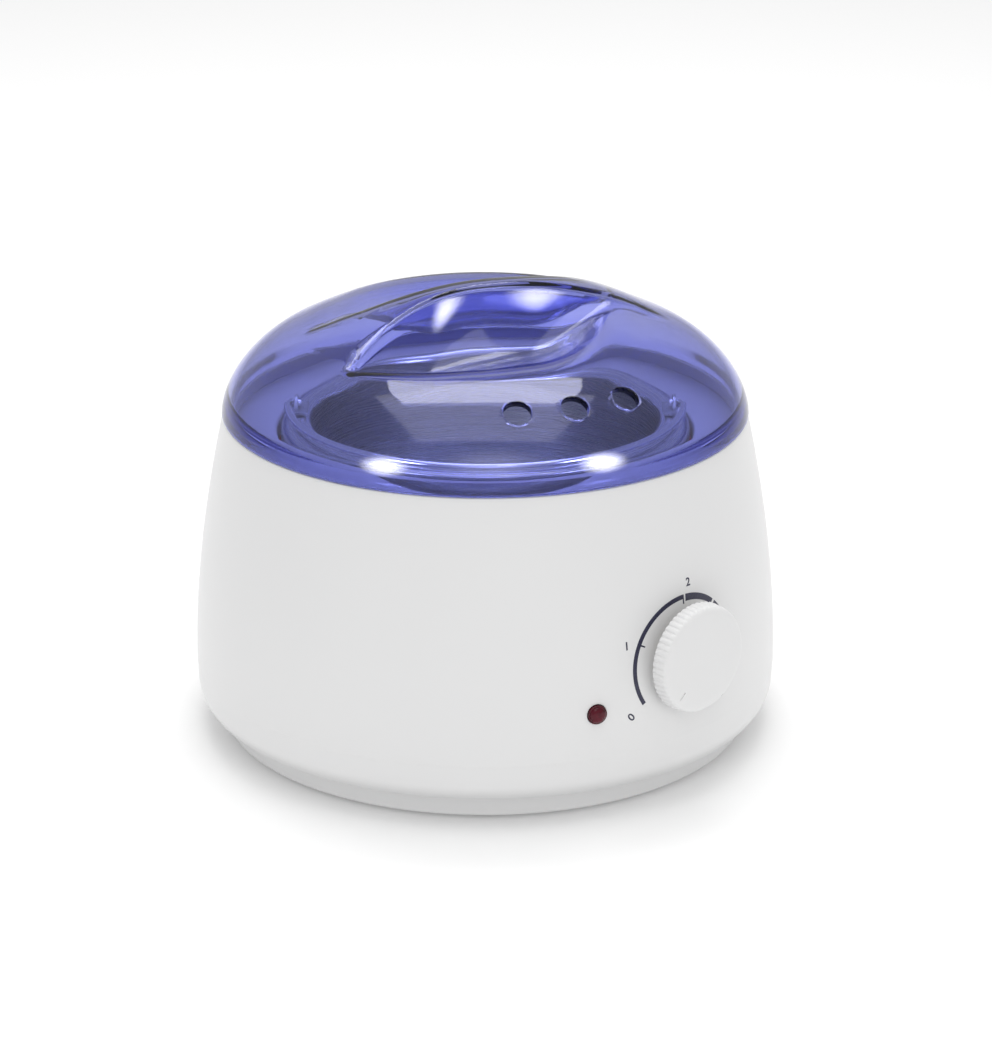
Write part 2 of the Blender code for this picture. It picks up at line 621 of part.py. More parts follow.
def scoop_depth(x, y):
    """How far the front finger scoop sinks below the dome. The rear one is its half turn."""
    if abs(x) >= SCOOP_LIP_RADIUS:
        return 0.0
    lip = scoop_lip(x)
    crest = scoop_crest(x)
    if not lip < y < crest:
        return 0.0
    depth = SCOOP_DEPTH * smoothstep(-0.047, -0.012, x) * (1 - 0.92 * smoothstep(0.014, 0.046, x))
    depth *= 1 - smoothstep(0.048, 0.058, x)
    along = (y - lip) / (crest - lip)
    foot = scoop_foot(x)
    if along < foot:
        return depth * (0.5 - 0.5 * math.cos(math.pi * along / foot))
    return depth * (1 - ((along - foot) / (1 - foot)) ** 2)


def dome_height(radius):
    """Height of the plain dome above the lid's edge."""
    share = min(radius / LID_RADIUS, 1)
    flank = LID_FLANK_HEIGHT * (1 - share**3.6) ** (1 / 1.62)
    cap = LID_CROWN - LID_CAP_CURVE * radius**2
    mix = smoothstep(0.050, 0.070, radius)
    return cap * (1 - mix) + flank * mix


def lid_height(x, y):
    return dome_height(math.hypot(x, y)) - scoop_depth(x, y) - scoop_depth(-x, -y)


def scoop_rows(x):
    """Places in plan, from the front edge to the grip's crest, where the lid's mesh has its rows."""
    lip = scoop_lip(x)
    crest = min(max(scoop_crest(x), 0.8 * lip), -0.1 * lip)
    foot = scoop_foot(x)
    shares = [0, 0.34 * foot, 0.70 * foot, foot]
    shares += [foot + share * (1 - foot) for share in (0.5, 0.85, 1)]
    return [lip / SCOOP_LIP_SHARE] + [lip + share * (crest - lip) for share in shares]


def make_lid():
    """A clear shell: a dome with two finger scoops that leave a curved grip across its top.

    Inside the scoops' lip the mesh has rows that follow the grip, and outside it plain rings.
    """
    half = ROUND_STEPS // 2
    shape = bmesh.new()

    def vertex(x, y):
        return shape.verts.new((x, y, lid_height(x, y)))

    columns = []
    for index in range(1, half):
        x = -SCOOP_LIP_RADIUS * math.cos(math.pi * index / half)
        front = scoop_rows(x)
        rear = [-y for y in scoop_rows(-x)]
        middle = (front[-1] + rear[-1]) / 2
        columns.append([vertex(x, y) for y in front + [middle] + rear[::-1]])
    ends = vertex(-SCOOP_LIP_RADIUS, 0), vertex(SCOOP_LIP_RADIUS, 0)
    for left, right in zip(columns, columns[1:]):
        for row in range(len(left) - 1):
            shape.faces.new((left[row], right[row], right[row + 1], left[row + 1]))
    for row in range(len(columns[0]) - 1):
        shape.faces.new((ends[0], columns[0][row], columns[0][row + 1]))
        shape.faces.new((ends[1], columns[-1][row + 1], columns[-1][row]))

    inner = [ends[0]] + [column[0] for column in columns] + [ends[1]]
    inner += [column[-1] for column in reversed(columns)]
    flank = [math.asin(SCOOP_LIP_RADIUS / LID_RADIUS)]
    flank += [flank[0] + (math.pi / 2 - flank[0]) * share for share in (0.2, 0.4, 0.6, 0.8, 0.975, 1)]
    for angle in flank[1:]:
        radius = LID_RADIUS * math.sin(angle)
        outer = []
        for index in range(ROUND_STEPS):
            turn = math.pi + 2 * math.pi * index / ROUND_STEPS
            outer.append(vertex(radius * math.cos(turn), radius * math.sin(turn)))
        for index in range(ROUND_STEPS):
            after = (index + 1) % ROUND_STEPS
            shape.faces.new((inner[index], outer[index], outer[after], inner[after]))
        inner = outer
    lid = link_mesh(shape, "lid", BLUE)
    lid.location.z = LID_EDGE_Z
    shell = lid.modifiers.new("shell", "SOLIDIFY")
    shell.thickness = LID_WALL
    shell.offset = -1
    shell.use_even_offset = False

    skirt_profile = [
        (0.0784, 0.0996), (0.0802, 0.0996), (0.0802, 0.1040), (0.0813, 0.1052), (0.0804, 0.1085),
        (0.0784, 0.1065),
    ]
    join(lid, turned("lid_skirt", None, skirt_profile, steps=ROUND_STEPS, cutter=True))
    for azimuth in VENT_AZIMUTHS:
        out = outward(azimuth)
        at = out * VENT_RING + Vector((0, 0, LID_EDGE_Z + dome_height(VENT_RING)))
        step = 0.0005
        slope = (dome_height(VENT_RING + step) - dome_height(VENT_RING - step)) / (2 * step)
        normal = (Vector((0, 0, 1)) - out * slope).normalized()
        vent = rod(f"vent_{azimuth}", None, VENT_RADIUS, -0.006, 0.006, 24, cutter=True)
        cut(lid, place(vent, Matrix.Translation(at) @ normal.to_track_quat("Z", "Y").to_matrix().to_4x4()))


make_body_shell()
make_base()
make_well()
make_heater()
make_thermostat()
make_knob()
make_lamp()
make_inlet()
make_wires()
make_pot()
make_bail()
make_lid()
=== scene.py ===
"""The looks of a wax warmer pot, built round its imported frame.

Metres, +Z up, the front faces -Y. An azimuth is counted from the front towards +X.
"""

import math

import bmesh
import bpy
import numpy as np
from mathutils import Matrix, Vector


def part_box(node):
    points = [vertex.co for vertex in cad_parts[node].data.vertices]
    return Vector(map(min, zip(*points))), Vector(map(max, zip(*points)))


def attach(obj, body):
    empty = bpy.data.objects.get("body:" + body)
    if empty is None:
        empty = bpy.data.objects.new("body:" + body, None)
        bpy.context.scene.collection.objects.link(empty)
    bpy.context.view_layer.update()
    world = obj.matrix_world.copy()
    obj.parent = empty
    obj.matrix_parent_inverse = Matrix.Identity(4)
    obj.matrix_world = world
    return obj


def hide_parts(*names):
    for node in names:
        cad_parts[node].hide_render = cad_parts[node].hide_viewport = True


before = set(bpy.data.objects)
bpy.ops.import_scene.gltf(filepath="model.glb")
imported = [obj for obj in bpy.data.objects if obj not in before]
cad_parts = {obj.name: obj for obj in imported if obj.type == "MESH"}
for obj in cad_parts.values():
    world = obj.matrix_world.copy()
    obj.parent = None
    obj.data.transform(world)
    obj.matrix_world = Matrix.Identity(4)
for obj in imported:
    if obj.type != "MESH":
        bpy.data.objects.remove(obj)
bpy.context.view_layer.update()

# The housing and its base
BODY_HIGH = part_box("body_shell")[1]
PLATE_LOW, PLATE_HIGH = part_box("base_plate")
BODY_RADIUS = BODY_HIGH.x
RIM_Z = BODY_HIGH.z
SEAM_Z = 0.0096  # between the housing and the plinth
RIM_RADIUS = 0.0822
BODY_WIDEST_Z = 0.0235
WALL = 0.0026
GAP = 0.0003  # left between pieces that don't touch
CREASE_Z = 0.0214  # the faint line low on the housing
CREASE_STEP = 0.00014
CREASE_DROP = 0.0003
PAINTED_EDGE_SHADE = 0.80  # painted shade: how much darker the housing's lower edge is coloured, in place of the shadow there
PAINTED_SHADE_FADE = 0.0055  # the height over which that painted shade fades out
COLLAR_RADIUS = 0.0653  # the deck's opening, round the pot
COLLAR_LOW = 0.0915
DECK_Z = 0.0976
DECK_RADIUS = 0.0806

# The lid. Its heights are counted from its lower edge
LID_LOW, LID_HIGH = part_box("lid")
LID_RADIUS = LID_HIGH.x
LID_EDGE_Z = RIM_Z + GAP
LID_CROWN = LID_HIGH.z - LID_EDGE_Z
LID_FLANK_HEIGHT = 0.03215
LID_CAP_CURVE = 4.4
LID_WALL = 0.0022
LID_BLEND = (0.050, 0.070)  # the radii between which the cap turns into the flank
PLUG_RADIUS = 0.0802
SCOOP_DEPTH = 0.0175
SCOOP_LIP_RADIUS = 0.0605
SCOOP_LIP_SHARE = 0.95
CREASE_RADIUS = 0.0010
VENT_AZIMUTHS = (8, 23, 38)
VENT_RADIUS = 0.0042
VENT_RING = 0.068

# The dial, the lamp, the gland, the feet, the screws and the bail
DIAL_AZIMUTH = 41.5
DIAL_Z = 0.0486
KNOB_RADIUS = 0.0170
KNOB_STANDOFF = 0.0030
KNOB_HEIGHT = 0.0054
KNOB_RIBS = 54
KNOB_RIB_DEPTH = 0.00034
SHAFT_RADIUS = 0.003
SHAFT_END = 0.0060
LAMP_AZIMUTH = 21.2
LAMP_Z = 0.036
GLAND_AZIMUTH = 200
GLAND_Z = 0.019
QUARTERS = (0, 90, 180, 270)  # the azimuths of what comes in fours
FOOT_RING = 0.064
FOOT_RADIUS = 0.007
BASE_SCREW_RING = 0.076
WELL_SCREW_RING = 0.070
SCREW_HOLE_RADIUS = 0.0018
BAIL_LOW, BAIL_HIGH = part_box("pot_bail")
PIVOT_Z = (BAIL_LOW.z + BAIL_HIGH.z) / 2
BAIL_WIRE = (BAIL_HIGH.z - BAIL_LOW.z) / 2

# The printed scale round the dial: its middle lies a little under the knob's
SCALE_AZIMUTH = 41.7
SCALE_Z = 0.0464
SCALE_RADIUS = 0.01966
SCALE_EDGE = 0.0006  # how far the arcs reach outside SCALE_RADIUS
INK_HEIGHT = 0.00005

ROUND_STEPS = 160  # round a turned piece
ROW_LENGTH = 0.0016  # of the lid's mesh

# The camera
VIEW_TARGET = Vector((0, 0, 0.0615))
VIEW_ELEVATION = 20.96
VIEW_DISTANCE = 1.110
VIEW_LENS = 118.8
VIEW_SHIFT = (0.0102, 0.0032)


# ---- materials


def look(name, colour, roughness, metallic=0.0, **sockets):
    """A Principled material. Other sockets are given by name, with _ for each space."""
    made = bpy.data.materials.new(name)
    made.use_nodes = True
    shader = made.node_tree.nodes["Principled BSDF"]
    shader.inputs["Base Color"].default_value = (*colour, 1)
    shader.inputs["Roughness"].default_value = roughness
    shader.inputs["Metallic"].default_value = metallic
    for socket, value in sockets.items():
        shader.inputs[socket.replace("_", " ")].default_value = value
    return made


def add_node(made, kind, **settings):
    node = made.node_tree.nodes.new(kind)
    for setting, value in settings.items():
        setattr(node, setting, value)
    return node


def link(made, source, target):
    made.node_tree.links.new(source, target)


def shader_of(made):
    return made.node_tree.nodes["Principled BSDF"]


def place_in(made, stretch=(1, 1, 1)):
    """Coordinates in metres, stretched along an axis."""
    where = add_node(made, "ShaderNodeTexCoord")
    mapping = add_node(made, "ShaderNodeMapping")
    mapping.inputs["Scale"].default_value = stretch
    link(made, where.outputs["Object"], mapping.inputs["Vector"])
    return mapping.outputs["Vector"]


def split_place(made):
    """X, Y and Z in metres, each as an output."""
    where = add_node(made, "ShaderNodeTexCoord")
    parts = add_node(made, "ShaderNodeSeparateXYZ")
    link(made, where.outputs["Object"], parts.inputs[0])
    return parts.outputs


def turned_place(made):
    """Coordinates of radius and height, so that a pattern runs in rings as on a spun part."""
    parts = split_place(made)
    flat = add_node(made, "ShaderNodeCombineXYZ")
    link(made, parts["X"], flat.inputs["X"])
    link(made, parts["Y"], flat.inputs["Y"])
    radius = add_node(made, "ShaderNodeVectorMath", operation="LENGTH")
    link(made, flat.outputs[0], radius.inputs[0])
    both = add_node(made, "ShaderNodeCombineXYZ")
    link(made, radius.outputs["Value"], both.inputs["X"])
    link(made, parts["Z"], both.inputs["Y"])
    return both.outputs[0]


def noise(made, place, scale, detail=4.0, roughness=0.5):
    node = add_node(made, "ShaderNodeTexNoise")
    node.inputs["Scale"].default_value = scale
    node.inputs["Detail"].default_value = detail
    node.inputs["Roughness"].default_value = roughness
    link(made, place, node.inputs["Vector"])
    return node.outputs[0]


def cells(made, place, scale, output="Distance"):
    node = add_node(made, "ShaderNodeTexVoronoi")
    node.inputs["Scale"].default_value = scale
    link(made, place, node.inputs["Vector"])
    return node.outputs[output]


def ranged(made, source, spread, low=0.0, high=1.0, **settings):
    """Turns a pattern's values from those of spread into low to high."""
    node = add_node(made, "ShaderNodeMapRange", **settings)
    for socket, value in zip(("From Min", "From Max", "To Min", "To Max"), (*spread, low, high)):
        node.inputs[socket].default_value = value
    link(made, source, node.inputs["Value"])
    return node.outputs[0]


def vary(made, source, low, high, spread=(0.3, 0.7)):
    """Lets a pattern move the roughness between two values."""
    link(made, ranged(made, source, spread, low, high), shader_of(made).inputs["Roughness"])


def mottle(made, source, first, second, spread=(0.3, 0.7)):
    """Lets a pattern move the base colour between two colours."""
    mix = add_node(made, "ShaderNodeMix", data_type="RGBA")
    link(made, ranged(made, source, spread), mix.inputs["Factor"])
    colours = [socket for socket in mix.inputs if socket.type == "RGBA"]
    for socket, colour in zip(colours, (first, second)):
        socket.default_value = (*colour, 1)
    result = [socket for socket in mix.outputs if socket.type == "RGBA"][0]
    link(made, result, shader_of(made).inputs["Base Color"])


def emboss(made, *sources):
    """Bump from one or more (pattern, height in metres), laid over each other."""
    normal = None
    for source, height in sources:
        bump = add_node(made, "ShaderNodeBump")
        bump.inputs["Distance"].default_value = height
        link(made, source, bump.inputs["Height"])
        if normal:
            link(made, normal, bump.inputs["Normal"])
        normal = bump.outputs["Normal"]
    link(made, normal, shader_of(made).inputs["Normal"])


def grained(name, colour, roughness, metallic=0.0, tone=None, shine=None, relief=None, **sockets):
    """A look with noise in its tone, its shine and its relief.

    tone is (scale, detail, first colour, second colour), shine is (scale, detail, lowest and highest
    roughness) and relief is (scale, detail, height in metres).
    """
    made = look(name, colour, roughness, metallic, **sockets)
    place = place_in(made)
    if tone:
        mottle(made, noise(made, place, *tone[:2]), *tone[2:])
    vary(made, noise(made, place, *shine[:2]), *shine[2:])
    emboss(made, (noise(made, place, *relief[:2]), relief[2]))
    return made


def make_white(name):
    """Gloss white ABS: faint orange peel, fine scuffs in its shine and a slow drift of tone."""
    made = look(name, (0.80, 0.80, 0.80), 0.30, IOR=1.5, Specular_IOR_Level=0.3)
    place = place_in(made)
    mottle(made, noise(made, place, 18, 2), (0.797, 0.797, 0.799), (0.806, 0.806, 0.807))
    vary(made, noise(made, place, 160, 4, 0.6), 0.28, 0.33)
    peel = noise(made, place, 700, 2)
    grain = noise(made, place, 5200, 2)
    emboss(made, (peel, 0.0000015), (grain, 0.0000002))
    return made


def make_shell_white_painted_shade():
    """The housing's white, with painted shade along its lower edge: the colour darkens towards the seam,
    standing in for the shadow there.
    """
    made = make_white("white_abs_shell_painted_shade")
    colour = shader_of(made).inputs["Base Color"].links[0].from_socket
    # painted shade: the base colour is scaled down near the seam, where the tucked lower edge gets less
    # light
    fade = (SEAM_Z, SEAM_Z + PAINTED_SHADE_FADE)
    painted_shade = ranged(made, split_place(made)["Z"], fade, PAINTED_EDGE_SHADE, interpolation_type="SMOOTHSTEP")
    shade = add_node(made, "ShaderNodeVectorMath", operation="SCALE")
    link(made, colour, shade.inputs[0])
    link(made, painted_shade, shade.inputs["Scale"])
    link(made, shade.outputs[0], shader_of(made).inputs["Base Color"])
    return made


def make_blue():
    """Clear violet-blue plastic, deeper where it is thicker."""
    made = look("blue_clear_plastic", (0.67, 0.70, 0.94), 0.03, IOR=1.46, Transmission_Weight=1.0)
    place = place_in(made)
    vary(made, noise(made, place, 180, 5, 0.6), 0.012, 0.055)
    emboss(made, (noise(made, place, 120, 2), 0.00001))
    absorb = add_node(made, "ShaderNodeVolumeAbsorption")
    absorb.inputs["Color"].default_value = (0.25, 0.28, 0.78, 1)
    absorb.inputs["Density"].default_value = 185
    link(made, absorb.outputs[0], made.node_tree.nodes["Material Output"].inputs["Volume"])
    return made


def make_aluminium():
    """Spun aluminium: fine rings from the tool, with a soft satin drift."""
    made = look("spun_aluminium", (0.78, 0.78, 0.80), 0.24, 1.0)
    rings = noise(made, turned_place(made), 2600, 3, 0.6)
    broad = noise(made, place_in(made), 38, 3)
    mottle(made, broad, (0.70, 0.705, 0.725), (0.78, 0.78, 0.79))
    vary(made, rings, 0.17, 0.33)
    emboss(made, (rings, 0.0000012))
    return made


def make_steel():
    """Zinc-plated steel with a fine spangle."""
    made = look("zinc_plated_steel", (0.60, 0.60, 0.62), 0.35, 1.0)
    place = place_in(made)
    mottle(made, cells(made, place, 900, "Color"), (0.52, 0.53, 0.56), (0.68, 0.68, 0.67), (0, 1))
    vary(made, noise(made, place, 500, 5), 0.26, 0.46)
    emboss(made, (noise(made, place, 1800, 3), 0.000006))
    return made


def make_mica():
    """Pressed mica sheet: long pale flakes."""
    made = look("mica", (0.50, 0.42, 0.30), 0.5)
    place = place_in(made, (1, 1, 2.6))
    flakes = cells(made, place, 420, "Color")
    mottle(made, flakes, (0.36, 0.29, 0.20), (0.64, 0.56, 0.42), (0, 1))
    vary(made, flakes, 0.3, 0.65, (0, 1))
    emboss(made, (cells(made, place, 420), 0.00003))
    return made


def make_ceramic():
    """Fired steatite, finely speckled."""
    made = look("steatite", (0.84, 0.81, 0.74), 0.45)
    place = place_in(made)
    mottle(made, noise(made, place, 1500, 6, 0.7), (0.74, 0.70, 0.62), (0.86, 0.84, 0.78), (0.35, 0.6))
    vary(made, noise(made, place, 800, 3), 0.38, 0.56)
    emboss(made, (noise(made, place, 2400, 3), 0.00001))
    return made


def make_red_lens():
    """Deep red lens plastic, with its lamp off."""
    made = look("red_lens", (0.06, 0.001, 0.008), 0.08, Specular_IOR_Level=0.3)
    place = place_in(made)
    mottle(made, noise(made, place, 420, 2), (0.045, 0.001, 0.006), (0.10, 0.002, 0.012))
    vary(made, noise(made, place, 900, 3), 0.06, 0.16)
    emboss(made, (cells(made, place, 1500), 0.00003))
    return made


def make_insulation(name, first, second):
    """PVC wire insulation."""
    tone, shine, relief = (240, 3, first, second), (1200, 3, 0.36, 0.55), (1800, 2, 0.000012)
    return grained(name, first, 0.45, tone=tone, shine=shine, relief=relief)


WHITE = make_white("white_abs")
# the housing's white carries painted shade along its lower edge
SHELL_WHITE_PAINTED_SHADE = make_shell_white_painted_shade()
BLUE = make_blue()
ALUMINIUM = make_aluminium()
STEEL = make_steel()
MICA = make_mica()
CERAMIC = make_ceramic()
RED_LENS = make_red_lens()
WIRE = grained(
    "bright_wire", (0.86, 0.86, 0.87), 0.12, 1.0, shine=(700, 5, 0.08, 0.22), relief=(2500, 2, 0.000003)
)
BRASS = grained(
    "brass", (0.78, 0.58, 0.26), 0.3, 1.0, tone=(160, 5, (0.62, 0.42, 0.17), (0.82, 0.62, 0.30)),
    shine=(700, 4, 0.22, 0.42), relief=(2200, 2, 0.000005),
)
RUBBER = grained(
    "grey_rubber", (0.045, 0.045, 0.048), 0.75, tone=(220, 5, (0.035, 0.035, 0.038), (0.075, 0.075, 0.078)),
    shine=(900, 4, 0.62, 0.9), relief=(2600, 4, 0.00002),
)
SILICONE = grained(
    "red_silicone", (0.50, 0.10, 0.07), 0.5, tone=(150, 4, (0.44, 0.08, 0.055), (0.56, 0.13, 0.09)),
    shine=(900, 4, 0.42, 0.62), relief=(1600, 3, 0.000012), Subsurface_Weight=0.15, Subsurface_Scale=0.001,
)
NYLON = grained(
    "white_nylon", (0.78, 0.78, 0.74), 0.5, tone=(90, 3, (0.74, 0.74, 0.69), (0.81, 0.81, 0.77)),
    shine=(700, 4, 0.42, 0.6), relief=(3000, 3, 0.00001), Subsurface_Weight=0.1, Subsurface_Scale=0.001,
)
LAMP_GLASS = grained(
    "lamp_glass", (1, 0.93, 0.88), 0.04, shine=(600, 3, 0.02, 0.09), relief=(500, 2, 0.00001),
    IOR=1.47, Transmission_Weight=1.0,
)
BROWN = make_insulation("brown_insulation", (0.16, 0.07, 0.035), (0.22, 0.10, 0.05))
BLUE_WIRE = make_insulation("blue_insulation", (0.04, 0.11, 0.42), (0.06, 0.15, 0.50))
GREEN = make_insulation("green_insulation", (0.10, 0.34, 0.07), (0.50, 0.46, 0.05))
INK = grained(
    "dark_ink", (0.022, 0.022, 0.055), 0.4, tone=(1400, 4, (0.018, 0.018, 0.048), (0.036, 0.036, 0.075)),
    shine=(900, 3, 0.32, 0.5), relief=(4000, 2, 0.000004),
)


# ---- geometry helpers


def smoothstep(low, high, value):
    t = np.clip((value - low) / (high - low), 0.0, 1.0)
    return t * t * (3 - 2 * t)


def outward(azimuth):
    turn = math.radians(azimuth)
    return Vector((math.sin(turn), -math.cos(turn), 0))


def radial_frame(azimuth, z):
    """Local Z runs outward from the middle axis, local Y stays up and local X follows the wall."""
    out = outward(azimuth)
    up = Vector((0, 0, 1))
    made = Matrix((up.cross(out), up, out)).transposed().to_4x4()
    made.translation = (0, 0, z)
    return made


def ring_place(azimuth, radius, z=0.0):
    return Matrix.Translation(outward(azimuth) * radius + Vector((0, 0, z)))


def body_radius(z):
    """Outer radius of the housing: a slow taper above its widest line, a tight tuck below."""
    if z > BODY_WIDEST_Z:
        rise = (z - BODY_WIDEST_Z) / (RIM_Z - BODY_WIDEST_Z)
        return BODY_RADIUS - (BODY_RADIUS - RIM_RADIUS) * rise**1.78
    return BODY_RADIUS - 0.0032 * ((BODY_WIDEST_Z - z) / (BODY_WIDEST_Z - SEAM_Z)) ** 5


def rounded(points, step=15):
    """A profile with arcs at the corners that name a radius: each point is (radius, z[, corner])."""
    made = []
    for index, point in enumerate(points):
        if len(point) == 2:
            made.append(tuple(point))
            continue
        here = Vector(point[:2])
        before = Vector(points[index - 1][:2]) - here
        after = Vector(points[(index + 1) % len(points)][:2]) - here
        half = before.angle(after) / 2
        reach = min(point[2] / math.tan(half), 0.49 * before.length, 0.49 * after.length)
        radius = reach * math.tan(half)
        before.normalize()
        after.normalize()
        middle = here + (before + after).normalized() * (radius / math.sin(half))
        start = here + before * reach - middle
        end = here + after * reach - middle
        first = math.atan2(start.y, start.x)
        sweep = (math.atan2(end.y, end.x) - first + math.pi) % (2 * math.pi) - math.pi
        parts = max(2, math.ceil(abs(sweep) / math.radians(step)))
        for part in range(parts + 1):
            turn = first + sweep * part / parts
            made.append((middle.x + radius * math.cos(turn), middle.y + radius * math.sin(turn)))
    return made


def flowing(points, between=4):
    """A smooth curve through a profile's points."""
    ends = [Vector(point) for point in points]
    ends = [2 * ends[0] - ends[1]] + ends + [2 * ends[-1] - ends[-2]]
    made = []
    for before, start, end, after in zip(ends, ends[1:], ends[2:], ends[3:]):
        for step in range(between):
            t = step / between
            made.append(
                0.5 * (2 * start + (end - before) * t
                + (2 * before - 5 * start + 4 * end - after) * t**2
                + (3 * start - before - 3 * end + after) * t**3)
            )
    made.append(ends[-2])
    return [tuple(point) for point in made]


def arc(wide, high, start, end, steps, middle=(0, 0)):
    """Points along an ellipse between two angles in degrees."""
    turns = [math.radians(start + (end - start) * step / steps) for step in range(steps + 1)]
    return [(middle[0] + wide * math.cos(turn), middle[1] + high * math.sin(turn)) for turn in turns]


def add_object(name, data):
    obj = bpy.data.objects.new(name, data)
    bpy.context.scene.collection.objects.link(obj)
    return obj


def evaluated_mesh(obj):
    """An object's mesh as its modifiers or its curve make it."""
    bpy.context.view_layer.update()
    graph = bpy.context.evaluated_depsgraph_get()
    return bpy.data.meshes.new_from_object(obj.evaluated_get(graph))


def shape_object(name, shape, material=None):
    """Turns a bmesh into an object."""
    mesh = bpy.data.meshes.new(name)
    shape.to_mesh(mesh)
    shape.free()
    if material:
        mesh.materials.append(material)
    return add_object(name, mesh)


def object_from(name, verts, faces, material):
    """A closed mesh with its faces turned outward."""
    shape = bmesh.new()
    made = [shape.verts.new(vert) for vert in verts]
    for face in faces:
        shape.faces.new([made[index] for index in face])
    bmesh.ops.recalc_face_normals(shape, faces=shape.faces)
    return shape_object(name, shape, material)


def turned(name, material, profile, steps=ROUND_STEPS, reach=None):
    """A solid of revolution about Z. A profile that starts on the axis ends on it, or it closes itself.

    reach(row, radius, turn) may change a point's radius, for ribs.
    """
    verts, rows = [], []
    for row, (radius, z) in enumerate(profile):
        if radius < 1e-9:
            rows.append([len(verts)] * steps)
            verts.append((0, 0, z))
            continue
        rows.append(range(len(verts), len(verts) + steps))
        for index in range(steps):
            turn = 2 * math.pi * index / steps
            far = reach(row, radius, turn) if reach else radius
            verts.append((far * math.cos(turn), far * math.sin(turn), z))
    faces = []
    pairs = list(zip(rows, rows[1:]))
    if profile[0][0] > 1e-9:
        pairs.append((rows[-1], rows[0]))
    for low, high in pairs:
        for index in range(steps):
            after = (index + 1) % steps
            corners = [low[index], low[after], high[after], high[index]]
            face = [corner for k, corner in enumerate(corners) if corner != corners[k - 1]]
            if len(face) > 2:
                faces.append(face)
    return object_from(name, verts, faces, material)


def block(name, low, high):
    """A box used as a cutter or joined to another shape."""
    low, high = Vector(low), Vector(high)
    shape = bmesh.new()
    bmesh.ops.create_cube(shape, size=1)
    bmesh.ops.scale(shape, verts=shape.verts, vec=high - low)
    bmesh.ops.translate(shape, verts=shape.verts, vec=(low + high) / 2)
    return shape_object(name, shape)


def rod(name, radius, low, high, sides=48):
    """A cylinder about Z used as a cutter or joined to another shape."""
    return turned(name, None, [(0, low), (radius, low), (radius, high), (0, high)], sides)


def put(obj, matrix):
    """Places a helper or a piece and returns it."""
    obj.matrix_world = matrix
    return obj


def carve(obj, cuts=(), joins=()):
    """Joins and cuts with helper shapes, applies the result and removes the helpers."""
    for operation, helpers in (("UNION", joins), ("DIFFERENCE", cuts)):
        for helper in helpers:
            step = obj.modifiers.new(operation, "BOOLEAN")
            step.operation = operation
            step.object = helper
    mesh = evaluated_mesh(obj)
    obj.modifiers.clear()
    obj.data = mesh
    for helper in (*cuts, *joins):
        bpy.data.objects.remove(helper)
    return obj


def smooth(obj, angle=38, weighted=True):
    """Shades round faces smooth, and keeps flat faces flat beside a rounded edge."""
    obj.data.shade_smooth()
    obj.data.set_sharp_from_angle(angle=math.radians(angle))
    if weighted:
        even = obj.modifiers.new("even_shading", "WEIGHTED_NORMAL")
        even.keep_sharp = True
    return obj


def fit(obj, body, node):
    """Says what a piece rides on, and hides the CAD node that it stands for."""
    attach(obj, body)
    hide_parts(node)


def add_line(curve, points, closed=False):
    """Adds a run of straight steps to a curve."""
    spline = curve.splines.new("POLY")
    spline.use_cyclic_u = closed
    spline.points.add(len(points) - 1)
    for point, place in zip(spline.points, points):
        point.co = Vector(place).to_4d()


def flat_piece(name, material, curve, moved):
    """A welded mesh of a flat curve. moved(point) says where each of its points goes."""
    flat = add_object(name, curve)
    shape = bmesh.new()
    shape.from_mesh(evaluated_mesh(flat))
    bpy.data.objects.remove(flat)
    bmesh.ops.remove_doubles(shape, verts=shape.verts, dist=1e-7)
    for vert in shape.verts:
        vert.co = moved(vert.co)
    bmesh.ops.recalc_face_normals(shape, faces=shape.faces)
    return shape_object(name, shape, material)


# ---- housing


